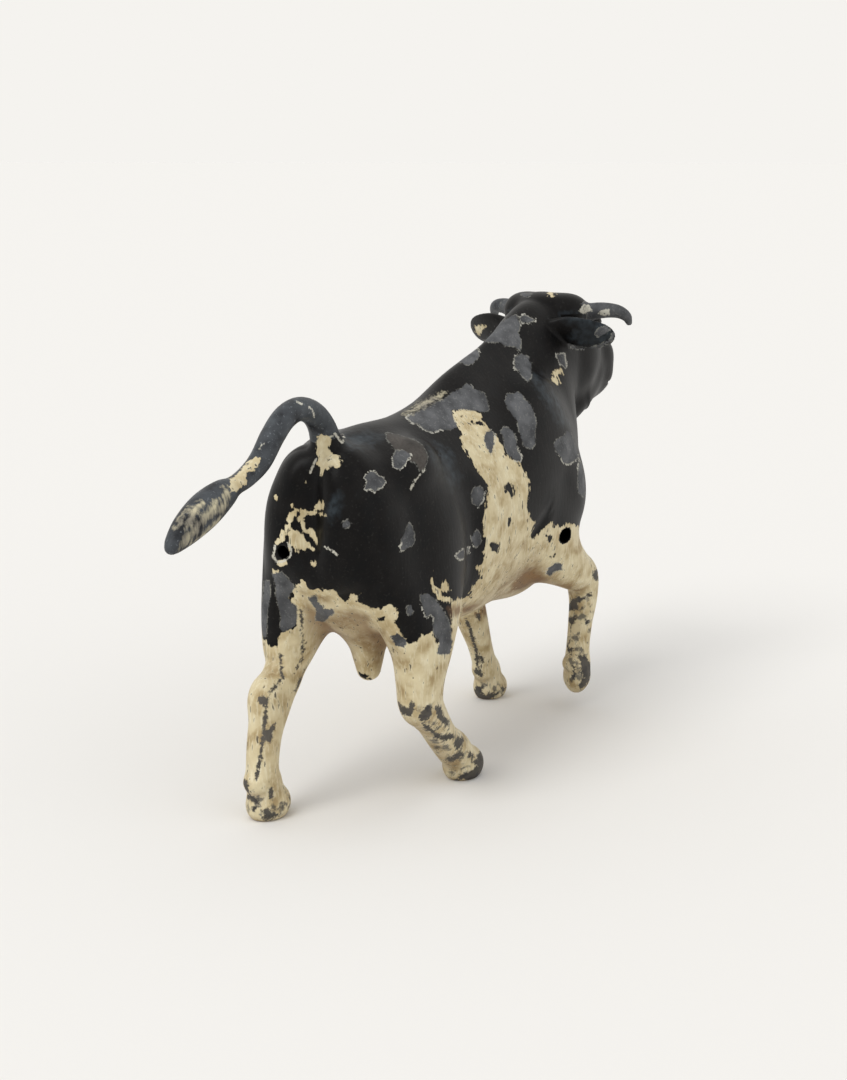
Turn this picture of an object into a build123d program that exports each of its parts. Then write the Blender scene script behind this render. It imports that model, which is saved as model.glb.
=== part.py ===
"""Striding bull figurine, hollow-cast in lead and soldered up from separate castings.

Row frame: +X towards the muzzle, +Y to the animal's left, +Z up, millimetres.
The origin is on the ground, under the middle of the overall box.
Two half shells make the trunk and meet on the plane Y = 0. The head plugs into
the open neck, each limb plugs into a socket in its haunch, and the tail, horns
and ears are small castings of their own, pinned and soldered on.
"""

import os
from collections import namedtuple
from math import sqrt

from build123d import *

# Casting and joint sizes
wall = 1.6  # thickness of the slush-cast half shells
head_wall = 2.6  # the head is cast thicker, so that its plug fits inside the neck
fit_clearance = 0.05  # gap all round a soldered plug in its socket
tenon_radius = 1.3  # round plug on top of each limb
tenon_length = 4.0
neck_plug_length = 4.0
tail_tenon_radius = 1.0
tail_tenon_length = 3.0
pin_radius = 0.5  # pins that hold the horns and ears
pin_length = 1.2
solder_thickness = 0.5  # bead inside the shells, along the middle seam
solder_width = 2.0
shoulder_vent_radius = 0.95  # holes that let the molten lead drain
rump_vent_radius = 0.8

# A section of the trunk, neck or head is an egg: its highest and lowest point on the
# middle plane as (x, z), its half width, and how much of that width is left high up
# on the flank (crest) and low down on it (keel).
Section = namedtuple("Section", "top low half_width crest keel")
crest_height = 0.74  # where crest is taken, as a share of the half height
keel_height = -0.66
flank_shares = (0, 0.4, 0.74, 0.93)  # heights on the flank that a section is drawn through

trunk_sections = [
    Section(top=(-26.4, 42.6), low=(-26.8, 34.0), half_width=3.6, crest=0.62, keel=0.74),
    Section(top=(-25.2, 44.2), low=(-25.9, 29.6), half_width=5.8, crest=0.62, keel=0.74),
    Section(top=(-22.0, 45.6), low=(-23.0, 25.4), half_width=7.6, crest=0.62, keel=0.76),
    Section(top=(-15.0, 46.2), low=(-16.0, 22.6), half_width=9.2, crest=0.62, keel=0.78),
    Section(top=(-6.0, 46.3), low=(-6.0, 20.6), half_width=9.5, crest=0.60, keel=0.80),
    Section(top=(1.5, 47.6), low=(4.0, 18.9), half_width=9.9, crest=0.57, keel=0.78),
    Section(top=(7.0, 50.1), low=(14.5, 17.8), half_width=10.0, crest=0.51, keel=0.74),
    Section(top=(11.5, 51.6), low=(25.0, 17.0), half_width=10.4, crest=0.48, keel=0.70),
    Section(top=(15.5, 52.8), low=(33.6, 20.0), half_width=10.0, crest=0.45, keel=0.70),
]
neck_joint = Section(top=(24.5, 56.2), low=(40.2, 38.0), half_width=6.1, crest=0.54, keel=0.58)

# The head moves with the joint that it plugs into, so its sections, horns and ears
# are measured from the middle of the neck joint.
neck_middle = Vector(
    (neck_joint.top[0] + neck_joint.low[0]) / 2, 0, (neck_joint.top[1] + neck_joint.low[1]) / 2
)
head_sections = [
    Section(top=(2.2, 11.6), low=(11.0, -5.3), half_width=5.2, crest=0.66, keel=0.66),
    Section(top=(8.2, 10.0), low=(13.6, -5.6), half_width=5.0, crest=0.70, keel=0.66),
    Section(top=(13.3, 6.6), low=(16.0, -5.4), half_width=4.2, crest=0.70, keel=0.68),
    Section(top=(17.3, 3.2), low=(18.0, -5.0), half_width=3.6, crest=0.70, keel=0.74),
    Section(top=(19.7, 0.9), low=(19.9, -4.2), half_width=3.1, crest=0.70, keel=0.78),
    Section(top=(20.65, -0.4), low=(20.65, -3.4), half_width=2.2, crest=0.70, keel=0.78),
]

# Swellings of muscle and bone, as ellipsoids on both sides: centre, half sizes, and
# turn about Y in degrees. Those of the head are measured as the head's sections are.
Swelling = namedtuple("Swelling", "centre size turn")

trunk_swellings = [
    Swelling((-20.0, 4.3, 35.5), (6.6, 3.6, 7.8), 4),  # buttock
    Swelling((-14.2, 6.4, 41.8), (3.8, 2.4, 2.8), 0),  # hook bone
    Swelling((-23.0, 2.8, 42.0), (2.8, 2.3, 2.8), 0),  # pin bone
    Swelling((24.8, 6.6, 31.0), (5.2, 3.6, 5.8), 20),  # point of shoulder
]
head_swellings = [
    Swelling((7.5, 3.3, 1.2), (4.1, 2.5, 5.1), 25),  # cheek
    Swelling((9.9, 4.2, 6.4), (2.3, 1.5, 1.4), 35),  # brow
    Swelling((17.4, 1.6, -1.8), (2.6, 2.3, 3.1), 0),  # lips
    Swelling((3.3, 3.5, 8.7), (3.5, 2.8, 2.5), 0),  # horn base
    Swelling((9.4, 1.5, -5.4), (2.8, 2.2, 3.0), 30),  # jowl
]

# A station down a limb: centre, and half sizes along and across the stride.
# The haunch is cast with the trunk, and the limb starts where the haunch ends.
# The ham is the muscle down the back of a hind limb, beside the haunch and shank.
# The hoof is level, from its coronet down to its sole.
Station = namedtuple("Station", "centre along across")
Limb = namedtuple("Limb", "haunch shank hoof ham")

hind_right_limb = Limb(
    haunch=[
        Station((-12.5, -6.0, 33.0), 7.4, 4.4),
        Station((-12.9, -7.3, 26.5), 6.4, 3.8),
    ],
    shank=[
        Station((-14.2, -8.0, 20.6), 4.4, 3.1),
        Station((-15.2, -8.2, 15.0), 3.1, 2.4),
        Station((-12.4, -7.9, 10.6), 2.3, 2.1),
        Station((-8.4, -7.4, 6.8), 2.1, 1.9),
        Station((-4.0, -7.0, 3.2), 2.2, 2.0),
    ],
    hoof=[
        Station((-3.4, -7.0, 3.6), 2.5, 2.2),
        Station((-2.0, -7.0, 0.0), 2.8, 2.4),
    ],
    ham=[
        Station((-22.0, -4.2, 37.0), 3.4, 3.2),
        Station((-20.8, -5.6, 31.0), 3.9, 3.4),
        Station((-18.8, -7.0, 25.5), 3.4, 2.9),
        Station((-16.9, -8.0, 19.0), 2.4, 2.2),
    ],
)
hind_left_limb = Limb(
    haunch=[
        Station((-16.0, 5.8, 33.0), 6.8, 4.3),
        Station((-17.4, 6.6, 26.0), 5.8, 3.8),
    ],
    shank=[
        Station((-19.8, 7.1, 20.4), 4.3, 2.9),
        Station((-23.4, 7.2, 15.2), 3.3, 2.3),
        Station((-26.3, 7.0, 9.8), 2.4, 2.0),
        Station((-26.9, 7.0, 5.4), 2.2, 2.0),
        Station((-26.6, 7.0, 2.4), 2.2, 2.0),
    ],
    hoof=[
        Station((-26.5, 7.0, 3.6), 2.5, 2.2),
        Station((-25.6, 7.0, 0.0), 2.9, 2.4),
    ],
    ham=[
        Station((-22.0, 4.0, 37.0), 3.2, 3.0),
        Station((-21.8, 5.2, 31.0), 3.7, 3.2),
        Station((-21.5, 6.4, 25.5), 3.4, 2.9),
        Station((-22.2, 7.1, 19.0), 2.2, 2.1),
    ],
)
front_left_limb = Limb(
    haunch=[
        Station((18.6, 4.8, 30.0), 5.6, 3.8),
        Station((19.8, 6.0, 23.0), 4.6, 3.3),
    ],
    shank=[
        Station((22.8, 5.8, 16.4), 2.9, 2.4),
        Station((24.3, 5.5, 12.4), 2.4, 2.1),
        Station((25.8, 5.2, 8.8), 1.95, 1.8),
        Station((27.0, 5.0, 5.6), 1.9, 1.8),
        Station((28.3, 5.0, 2.6), 2.0, 1.9),
    ],
    hoof=[
        Station((28.2, 5.0, 3.4), 2.3, 2.1),
        Station((29.4, 5.0, 0.0), 2.7, 2.3),
    ],
    ham=[],
)
front_right_limb = Limb(
    haunch=[
        Station((17.6, -5.0, 31.0), 6.0, 3.8),
        Station((22.0, -6.6, 25.0), 4.8, 3.5),
    ],
    shank=[
        Station((28.2, -8.0, 21.0), 3.1, 2.8),
        Station((32.0, -8.2, 18.2), 2.5, 2.4),
        Station((31.8, -8.1, 13.2), 1.95, 1.85),
        Station((31.0, -8.0, 9.0), 1.8, 1.7),
        Station((30.8, -8.0, 5.4), 1.95, 1.85),
    ],
    hoof=[
        Station((30.7, -8.0, 5.6), 2.1, 1.9),
        Station((30.5, -8.0, 2.5), 1.5, 1.4),
    ],
    ham=[],
)
limbs = {
    "hind_right_leg": hind_right_limb,
    "hind_left_leg": hind_left_limb,
    "front_left_leg": front_left_limb,
    "front_right_leg": front_right_limb,
}

# Round castings: the centre line as points, with the radius at each
Ring = namedtuple("Ring", "centre radius")

tail_rings = [
    Ring((-22.6, 0, 44.6), 1.8),
    Ring((-24.2, 0, 48.0), 1.5),
    Ring((-27.6, 0, 49.7), 1.4),
    Ring((-31.2, 0, 49.5), 1.4),
    Ring((-33.8, 0, 47.8), 1.35),
    Ring((-36.2, 0, 45.3), 1.3),
    Ring((-39.2, 0, 43.8), 1.2),
    Ring((-42.4, 0, 42.9), 1.3),
    Ring((-46.4, 0, 41.5), 1.8),
    Ring((-50.2, 0, 39.9), 1.6),
    Ring((-52.6, 0, 38.7), 0.8),
]
horn_rings = [
    Ring((5.2, 5.8, 8.5), 1.35),
    Ring((6.0, 7.4, 8.8), 1.2),
    Ring((6.9, 9.3, 8.6), 1.0),
    Ring((7.8, 10.3, 7.8), 0.75),
    Ring((8.2, 10.5, 6.8), 0.5),
]
ear_rings = [
    Ring((-1.8, 3.8, 6.9), 1.6),
    Ring((-0.8, 6.2, 6.5), 2.1),
    Ring((0.4, 8.4, 5.7), 2.1),
    Ring((1.4, 10.2, 5.0), 1.4),
    Ring((1.8, 11.0, 4.7), 0.6),
]
ear_flatness = 0.38  # thickness of an ear as a share of its width

# Scrotum, half of it cast with each shell: outline as (radius, z)
scrotum_x = -14.0
scrotum_outline = [(3.0, 25.0), (2.2, 20.5), (2.5, 17.2), (1.6, 14.9)]
scrotum_tip_z = 14.2

# Each vent starts in the hollow and runs out through the wall
shoulder_vent_start = (20.6, 0, 27.2)
rump_vent_start = (-20.0, 3.4, 32.9)


def halfway(first, second):
    """Section halfway between two others."""
    return Section(
        top=tuple((a + b) / 2 for a, b in zip(first.top, second.top)),
        low=tuple((a + b) / 2 for a, b in zip(first.low, second.low)),
        half_width=(first.half_width + second.half_width) / 2,
        crest=(first.crest + second.crest) / 2,
        keel=(first.keel + second.keel) / 2,
    )


def on_neck(section):
    """Section of the head, moved to the neck joint."""
    return section._replace(
        top=(section.top[0] + neck_middle.X, section.top[1] + neck_middle.Z),
        low=(section.low[0] + neck_middle.X, section.low[1] + neck_middle.Z),
    )


def section_plane(section):
    """Plane of a section: local x runs across, local y up the section."""
    top = Vector(section.top[0], 0, section.top[1])
    low = Vector(section.low[0], 0, section.low[1])
    up = (top - low).normalized()
    return Plane(origin=(top + low) / 2, x_dir=(0, 1, 0), z_dir=Vector(0, 1, 0).cross(up))


def egg_width(section, rise):
    """Share of a section's half width at a share of its half height above its middle."""
    if rise > 0:
        level, left = crest_height, section.crest
    else:
        level, left = keel_height, section.keel
    swell = left / sqrt(1 - level**2) - 1
    return (1 + swell * (rise / level) ** 2) * sqrt(1 - rise**2)


def section_face(section, inset):
    """Face of a section, drawn in by inset all round: a curve over the back and one under the belly."""
    width = section.half_width - inset
    span = Vector(section.top[0] - section.low[0], section.top[1] - section.low[1])
    height = span.length / 2 - inset
    with BuildSketch(section_plane(section)) as sketch:
        with BuildLine():
            for way in (1, -1):
                rises = [way * share for share in flank_shares]
                flank = [(width * egg_width(section, rise), height * rise) for rise in rises]
                other = [(-across, up) for across, up in reversed(flank)]
                Spline(*flank, (0, way * height), *other, tangents=[(0, way), (0, -way)])
        make_face()
    return sketch.sketch


def direction(points, index):
    """Direction of a centre line at one of its points, from its neighbours."""
    before = points[max(index - 1, 0)]
    after = points[min(index + 1, len(points) - 1)]
    return (Vector(*after) - Vector(*before)).normalized()


def station_planes(stations):
    """Planes across a limb at its stations, facing down the limb."""
    planes = []
    for index, station in enumerate(stations):
        down = direction([each.centre for each in stations], index)
        planes.append(Plane(origin=station.centre, x_dir=Vector(0, 1, 0).cross(down), z_dir=down))
    return planes


def joint_plane(limb):
    """Plane where a limb is cut from its haunch, facing down the limb."""
    return station_planes([*limb.haunch, *limb.shank])[len(limb.haunch)]


def station_faces(stations):
    """Ellipses across a limb at its stations."""
    faces = []
    for station, plane in zip(stations, station_planes(stations)):
        with BuildSketch(plane) as sketch:
            Ellipse(station.along, station.across)
        faces.append(sketch.sketch)
    return faces


def hoof_faces(limb):
    """Level ellipses at the coronet and the sole of a hoof."""
    faces = []
    for station in limb.hoof:
        with BuildSketch(Plane.XY.offset(station.centre[2])) as sketch:
            with Locations(station.centre[:2]):
                Ellipse(station.along, station.across)
        faces.append(sketch.sketch)
    return faces


def ring_faces(rings, flatness):
    """Ellipses along a centre line, upright, thinned by flatness from side to side."""
    centres = [ring.centre for ring in rings]
    faces = []
    for index, ring in enumerate(rings):
        along = direction(centres, index)
        upright = along.cross(Vector(0, 0, 1)).cross(along)
        with BuildSketch(Plane(origin=ring.centre, x_dir=upright, z_dir=along)) as sketch:
            Ellipse(ring.radius, ring.radius * flatness)
        faces.append(sketch.sketch)
    return faces


def on_head(rings, side):
    """Rings of a horn or ear, moved to the neck joint and to one side of the head."""
    placed = []
    for ring in rings:
        across = Vector(ring.centre[0], side * ring.centre[1], ring.centre[2])
        placed.append(Ring(tuple(neck_middle + across), ring.radius))
    return placed


def swelling_solid(swelling, side, start):
    """One swelling, on one side, measured from start."""
    with BuildPart() as ball:
        Sphere(1)
        scale(by=swelling.size)
    x, y, z = swelling.centre
    return ball.part.moved(Location(start + Vector(x, side * y, z), (0, swelling.turn, 0)))


def root_plane(rings):
    """Plane at the root of a round casting, facing back into what it is fixed to."""
    return Plane(origin=rings[0].centre, z_dir=-direction([ring.centre for ring in rings], 0))


# The animal's outside and the hollow in it, before they are cut into castings
placed_head = [on_neck(section) for section in head_sections]
shell_sections = [*trunk_sections, halfway(trunk_sections[-1], neck_joint), neck_joint]
skull_sections = [neck_joint, halfway(neck_joint, placed_head[0]), *placed_head]
hollow_sections = [*shell_sections[2:], *skull_sections[1:-3]]
neck_plane = section_plane(neck_joint)
plug_end = neck_plane.offset(-neck_plug_length)

with BuildPart() as hollow:
    loft([section_face(section, wall) for section in hollow_sections])

cut_reach = hollow.part.bounding_box().diagonal  # far enough to run out of the part

with BuildPart() as solder_hollow:
    loft([section_face(section, wall + solder_thickness) for section in hollow_sections])

with BuildPart() as head_hollow:
    loft([section_face(section, head_wall) for section in hollow_sections])

with BuildPart() as neck_plug:
    loft([section_face(section, wall + fit_clearance) for section in hollow_sections])
    split(bisect_by=neck_plane.offset(head_wall), keep=Keep.BOTTOM)
    split(bisect_by=plug_end, keep=Keep.TOP)

with BuildPart() as head_outside:
    loft([section_face(section, 0) for section in skull_sections])
    for swelling in head_swellings:
        for side in (-1, 1):
            add(swelling_solid(swelling, side, neck_middle))

with BuildPart() as tail_socket:
    with BuildSketch(root_plane(tail_rings)):
        Circle(tail_tenon_radius + fit_clearance)
    extrude(amount=tail_tenon_length + fit_clearance, both=True)

castings = {}

# The trunk with its scrotum, before the haunches are fused to it
with BuildPart() as trunk_outside:
    loft([section_face(section, 0) for section in shell_sections])
    with BuildSketch(Plane(origin=(scrotum_x, 0, 0), x_dir=(1, 0, 0), z_dir=(0, -1, 0))):
        with BuildLine():
            outline = Spline(*scrotum_outline, (0, scrotum_tip_z))
            Polyline(outline @ 1, (0, scrotum_outline[0][1]), outline @ 0)
        make_face()
    revolve(axis=Axis((scrotum_x, 0, 0), (0, 0, 1)))
    for swelling in trunk_swellings:
        for side in (-1, 1):
            add(swelling_solid(swelling, side, Vector(0, 0, 0)))

# Limbs, each cut where its haunch ends and given a tenon that plugs into the haunch
haunches = []
for name, limb in limbs.items():
    joint = joint_plane(limb)
    with BuildPart() as whole_limb:
        loft(station_faces([*limb.haunch, *limb.shank]))
        if limb.ham:
            loft(station_faces(limb.ham))
    with BuildPart() as haunch:
        add(whole_limb.part)
        split(bisect_by=joint, keep=Keep.BOTTOM)
    haunches.append(haunch)
    with BuildPart() as leg:
        add(whole_limb.part)
        split(bisect_by=joint, keep=Keep.TOP)
        add(trunk_outside.part, mode=Mode.SUBTRACT)
        loft(hoof_faces(limb))
        with BuildSketch(joint):
            Circle(tenon_radius)
        extrude(amount=-tenon_length)
    castings[name] = leg

# The hollow trunk with its haunches, sockets and vents, cut into two half shells
with BuildPart() as trunk:
    add(trunk_outside.part)
    for haunch in haunches:
        add(haunch.part)
    add(hollow.part, mode=Mode.SUBTRACT)
    add(tail_socket.part, mode=Mode.SUBTRACT)
    for limb in limbs.values():
        with BuildSketch(joint_plane(limb)):
            Circle(tenon_radius + fit_clearance)
        extrude(amount=-tenon_length - fit_clearance, mode=Mode.SUBTRACT)
    for start, outward, radius in (
        (shoulder_vent_start, (0, -1, 0), shoulder_vent_radius),
        (rump_vent_start, (-1, 0, 0), rump_vent_radius),
    ):
        with BuildSketch(Plane(origin=start, z_dir=outward)):
            Circle(radius)
        extrude(amount=cut_reach, mode=Mode.SUBTRACT)

for name, keep in (("body_right", Keep.TOP), ("body_left", Keep.BOTTOM)):
    with BuildPart() as half_shell:
        add(trunk.part)
        split(bisect_by=Plane.XZ, keep=keep)
    castings[name] = half_shell

# Horns and ears, cut to the skull they are soldered on
pin_sockets = []
for name, rings, flatness in (
    ("left_horn", on_head(horn_rings, 1), 1),
    ("right_horn", on_head(horn_rings, -1), 1),
    ("left_ear", on_head(ear_rings, 1), ear_flatness),
    ("right_ear", on_head(ear_rings, -1), ear_flatness),
):
    with BuildPart() as fitting:
        loft(ring_faces(rings, flatness))
        add(head_outside.part, mode=Mode.SUBTRACT)
        with BuildSketch(root_plane(rings)):
            Circle(pin_radius)
        extrude(amount=pin_length, both=True)
    castings[name] = fitting
    with BuildPart() as socket:
        with BuildSketch(root_plane(rings)):
            Circle(pin_radius + fit_clearance)
        extrude(amount=pin_length + fit_clearance, both=True)
    pin_sockets.append(socket)

# Head, hollow, with the plug that goes into the neck
with BuildPart() as head:
    add(head_outside.part)
    add(neck_plug.part)
    add(head_hollow.part, mode=Mode.SUBTRACT)
    for socket in pin_sockets:
        add(socket.part, mode=Mode.SUBTRACT)
castings["head"] = head

# Tail, cut to the rump
with BuildPart() as tail:
    loft(ring_faces(tail_rings, 1))
    add(trunk_outside.part, mode=Mode.SUBTRACT)
    with BuildSketch(root_plane(tail_rings)):
        Circle(tail_tenon_radius)
    extrude(amount=tail_tenon_length, both=True)
castings["tail"] = tail

# Solder run along the inside of the seam between the half shells
with BuildPart() as seam_solder:
    with BuildSketch(Plane.XZ):
        Rectangle(4 * cut_reach, 4 * cut_reach)
    extrude(amount=solder_width / 2, both=True)
    split(bisect_by=plug_end.offset(-fit_clearance), keep=Keep.BOTTOM)
    add(hollow.part, mode=Mode.INTERSECT)
    add(solder_hollow.part, mode=Mode.SUBTRACT)
    add(tail_socket.part, mode=Mode.SUBTRACT)

with BuildPart() as belly_solder:
    add(seam_solder.part.solids().sort_by(Axis.Z)[0])
castings["belly_solder"] = belly_solder

with BuildPart() as back_solder:
    add(seam_solder.part.solids().sort_by(Axis.Z)[-1])
castings["back_solder"] = back_solder

os.makedirs("parts", exist_ok=True)
for name, casting in castings.items():
    casting.part.label = name
    export_step(casting.part, f"parts/{name}.step")
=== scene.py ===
import bmesh
import bpy
import numpy as np
from mathutils import Matrix, Vector


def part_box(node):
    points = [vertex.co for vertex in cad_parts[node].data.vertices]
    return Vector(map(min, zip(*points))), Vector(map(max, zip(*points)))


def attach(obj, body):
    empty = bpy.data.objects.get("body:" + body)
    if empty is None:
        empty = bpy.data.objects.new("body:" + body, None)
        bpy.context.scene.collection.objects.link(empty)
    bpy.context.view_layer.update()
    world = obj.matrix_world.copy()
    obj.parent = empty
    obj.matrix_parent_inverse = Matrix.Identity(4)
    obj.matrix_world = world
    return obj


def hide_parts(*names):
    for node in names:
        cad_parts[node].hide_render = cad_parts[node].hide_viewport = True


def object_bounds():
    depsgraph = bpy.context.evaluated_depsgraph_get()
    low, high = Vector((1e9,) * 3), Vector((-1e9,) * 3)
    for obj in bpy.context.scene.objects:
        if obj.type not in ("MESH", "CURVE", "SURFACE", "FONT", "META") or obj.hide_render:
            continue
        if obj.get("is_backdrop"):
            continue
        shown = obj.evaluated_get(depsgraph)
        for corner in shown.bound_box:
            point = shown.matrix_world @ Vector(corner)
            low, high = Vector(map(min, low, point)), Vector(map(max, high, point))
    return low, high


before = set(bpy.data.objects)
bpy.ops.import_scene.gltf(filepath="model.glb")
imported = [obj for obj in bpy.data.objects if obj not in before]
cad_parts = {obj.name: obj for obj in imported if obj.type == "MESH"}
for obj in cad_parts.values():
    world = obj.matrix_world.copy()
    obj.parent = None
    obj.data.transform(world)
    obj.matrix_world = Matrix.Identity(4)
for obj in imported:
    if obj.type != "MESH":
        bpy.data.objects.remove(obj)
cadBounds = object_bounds()
mm = 0.001
tiny = 1e-9  # stands in for nothing where it would be divided by
print("frame loaded:", len(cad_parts), "castings")

# The bull is modelled the way it would be in clay. Every form is a distance in mm to its skin, less than
# nothing inside, held on one grid of points, and forms are pressed together with rounded joins.
clay = {
    "pitch": 0.22,  # mm between grid points
    "low": (-54.0, -12.0, -0.9),
    "high": (54.0, 12.0, 60.0),
}

# Sections of trunk, neck and head: highest point x z, lowest point x z, half width, and the share of that
# width left high on the flank and low on it
sections = {
    "rump": (-24.0, 44.2, -24.6, 28.0, 5.9, 0.55, 0.74),
    "pins": (-21.4, 45.4, -22.2, 25.4, 7.3, 0.56, 0.76),
    "hips": (-15.0, 46.2, -16.0, 22.6, 9.0, 0.62, 0.78),
    "loin": (-6.0, 46.3, -6.0, 20.2, 9.5, 0.60, 0.80),
    "girth": (1.5, 47.6, 4.0, 18.1, 9.9, 0.57, 0.76),
    "withers": (7.0, 50.1, 14.5, 17.9, 9.8, 0.50, 0.72),
    "shoulder": (11.5, 51.5, 25.0, 17.0, 9.8, 0.47, 0.70),
    "chest": (15.5, 52.6, 33.6, 20.0, 9.7, 0.44, 0.70),
    "neckBase": (20.0, 54.2, 38.2, 29.0, 7.6, 0.46, 0.64),
    "neckJoint": (24.5, 56.0, 39.6, 38.0, 5.8, 0.55, 0.58),
    "nape": (29.0, 57.4, 41.4, 41.6, 5.3, 0.62, 0.62),
    "poll": (34.5, 57.9, 43.4, 41.4, 5.2, 0.70, 0.66),
    "brow": (40.5, 56.9, 46.0, 41.6, 4.9, 0.70, 0.66),
    "face": (45.6, 53.6, 48.4, 41.8, 4.3, 0.74, 0.68),
    "nose": (49.4, 51.0, 50.2, 42.2, 3.8, 0.78, 0.74),
    "muzzle": (51.2, 49.3, 51.4, 43.1, 3.4, 0.76, 0.76),
}
trunk = {
    "stations": 500,  # sections worked out along the animal
    "crest": (0.74, 0.673),  # half heights up where that share is taken, and a circle's share there
    "keel": (0.66, 0.751),  # the same, downwards
    "rise": 1.1,  # half heights over which the shares are followed
    "widths": (0.35, 1.6),  # least and most that they make of the half width
    "rump": 3.0,  # mm that this end is rounded over
    "muzzle": 1.6,
    "flattest": 0.03,  # least slope that a distance is worked out from
    "kept": (-9, 30),  # mm of distance that count
}

# Masses pressed on, and hollows taken out: centre, half sizes, turn about y in degrees, and mm of blend.
# Those with a y are made on both sides.
masses = {
    "buttock": ((-20.0, 4.2, 35.5), (6.4, 3.1, 7.5), 4, 3.0),
    "hook bone": ((-14.2, 6.2, 41.8), (3.6, 1.9, 2.4), 0, 4.0),
    "pin bone": ((-23.0, 2.6, 41.4), (2.6, 1.9, 2.4), 0, 3.5),
    "shoulder blade": ((16.0, 5.6, 37.0), (6.4, 3.2, 11.0), 22, 5.0),
    "point of shoulder": ((24.8, 6.7, 31.2), (5.0, 3.2, 5.6), 20, 3.5),
    "cheek": ((39.8, 3.3, 48.6), (4.0, 2.3, 5.0), 25, 1.6),
    "brow ridge": ((42.2, 4.3, 53.9), (2.2, 1.3, 1.2), 35, 1.0),
    "lips": ((49.8, 1.6, 46.0), (2.5, 2.4, 2.8), 0, 1.4),
    "side of the nose": ((48.8, 2.2, 48.9), (2.9, 2.2, 2.3), 20, 1.6),
    "poll": ((35.2, 0, 56.6), (3.8, 4.4, 1.7), 10, 1.5),
    "horn base": ((35.7, 3.5, 55.8), (3.4, 2.7, 2.4), 0, 1.4),
    "jowl": ((42.2, 1.8, 42.9), (5.4, 2.2, 1.9), -28, 2.8),
    "chin": ((47.0, 0, 43.4), (4.0, 2.2, 1.6), -6, 2.4),
}
hollows = {
    "beside the tail": ((-19.0, 7.8, 46.2), (4.0, 2.4, 2.0), 0, 2.5),
    "flank": ((-5.0, 11.3, 34.0), (2.6, 1.9, 9.0), -6, 3.0),
    "behind the shoulder": ((10.4, 10.7, 27.2), (5.6, 1.1, 0.9), -40, 1.5),
    "eye socket": ((43.4, 5.1, 52.5), (1.5, 1.0, 0.95), 35, 0.5),
    "nostril": ((52.0, 1.9, 47.0), (1.0, 0.75, 0.45), 40, 0.4),
    "mouth": ((50.4, 2.3, 44.3), (2.9, 1.4, 0.17), 8, 0.3),
    "between the buttocks": ((-28.0, 0, 38.0), (2.2, 1.3, 7.0), 0, 2.2),
}
eyeball = ((43.4, 4.35, 52.5), (1.0, 0.85, 0.75), 35, 0.15)
hocks = {  # each on its own side alone
    "right hock": ((-17.2, -8.2, 13.6), (1.2, 1.2, 1.6), -15, 1.0),
    "left hock": ((-26.2, 7.2, 15.0), (1.2, 1.2, 1.7), 20, 1.0),
}

# Limbs and other round forms: points down the middle, x y z, with the half size along the stride and
# across it
limbs = {
    "hind right": [
        (-12.5, -6.0, 31.0, 7.2, 4.4), (-12.9, -7.3, 26.0, 6.3, 3.75), (-14.0, -8.0, 21.0, 4.4, 3.1),
        (-15.2, -8.2, 16.6, 3.2, 2.5), (-15.0, -8.2, 13.4, 2.8, 2.25), (-12.2, -7.9, 10.4, 2.2, 2.0),
        (-8.6, -7.4, 7.0, 2.05, 1.9), (-5.4, -7.1, 4.6, 2.3, 2.1), (-3.6, -7.0, 3.0, 2.2, 2.0),
    ],
    "hind left": [
        (-16.0, 5.8, 31.0, 6.6, 4.3), (-17.4, 6.6, 26.0, 5.6, 3.8), (-19.6, 7.1, 20.8, 4.1, 2.9),
        (-21.2, 6.9, 17.6, 2.65, 1.85), (-24.2, 7.1, 14.2, 2.9, 2.15), (-26.2, 7.0, 10.4, 2.3, 1.95),
        (-26.9, 7.0, 6.4, 2.1, 1.9), (-26.6, 7.0, 4.2, 2.35, 2.1), (-26.2, 7.0, 3.0, 2.2, 2.0),
    ],
    "front left": [
        (18.6, 5.4, 28.0, 5.2, 3.6), (20.2, 6.0, 22.5, 4.2, 3.1), (22.6, 5.8, 16.8, 2.9, 2.4),
        (24.2, 5.5, 12.6, 2.4, 2.1), (25.7, 5.2, 9.0, 1.9, 1.75), (26.9, 5.1, 6.2, 1.8, 1.7),
        (27.8, 5.0, 4.4, 2.1, 1.95), (28.4, 5.0, 3.0, 2.0, 1.9),
    ],
    "front right": [
        (18.0, -5.8, 30.5, 5.8, 3.8), (22.5, -6.9, 25.0, 4.6, 3.5), (27.8, -7.8, 21.2, 3.2, 2.8),
        (31.0, -8.2, 19.2, 2.55, 2.4), (32.0, -8.15, 15.8, 2.1, 2.0), (31.4, -8.05, 12.2, 1.8, 1.7),
        (30.9, -8.0, 8.8, 1.7, 1.65), (30.8, -8.0, 6.4, 2.0, 1.85), (30.7, -8.0, 4.6, 1.95, 1.8),
        (30.6, -8.0, 3.5, 1.45, 1.4),
    ],
}
hams = {
    "right": [
        (-22.0, -4.2, 37.0, 3.4, 3.2), (-20.8, -5.6, 31.0, 3.9, 3.4), (-18.6, -7.0, 25.5, 3.4, 2.9),
        (-16.8, -8.0, 20.0, 2.6, 2.3), (-16.6, -8.2, 15.0, 1.8, 1.7),
    ],
    "left": [
        (-22.0, 4.0, 37.0, 3.2, 3.0), (-21.8, 5.2, 31.0, 3.7, 3.2), (-21.4, 6.4, 25.5, 3.4, 2.9),
        (-21.4, 6.9, 20.5, 2.3, 2.1), (-22.4, 6.7, 16.8, 1.3, 1.2),
    ],
    "twist": [
        (-22.6, 0, 32.0, 3.2, 3.2), (-19.0, 0, 26.6, 3.6, 3.6), (-15.0, 0, 23.4, 3.6, 4.0),
        (-11.0, 0, 22.4, 3.0, 3.0),
    ],
}
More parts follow.
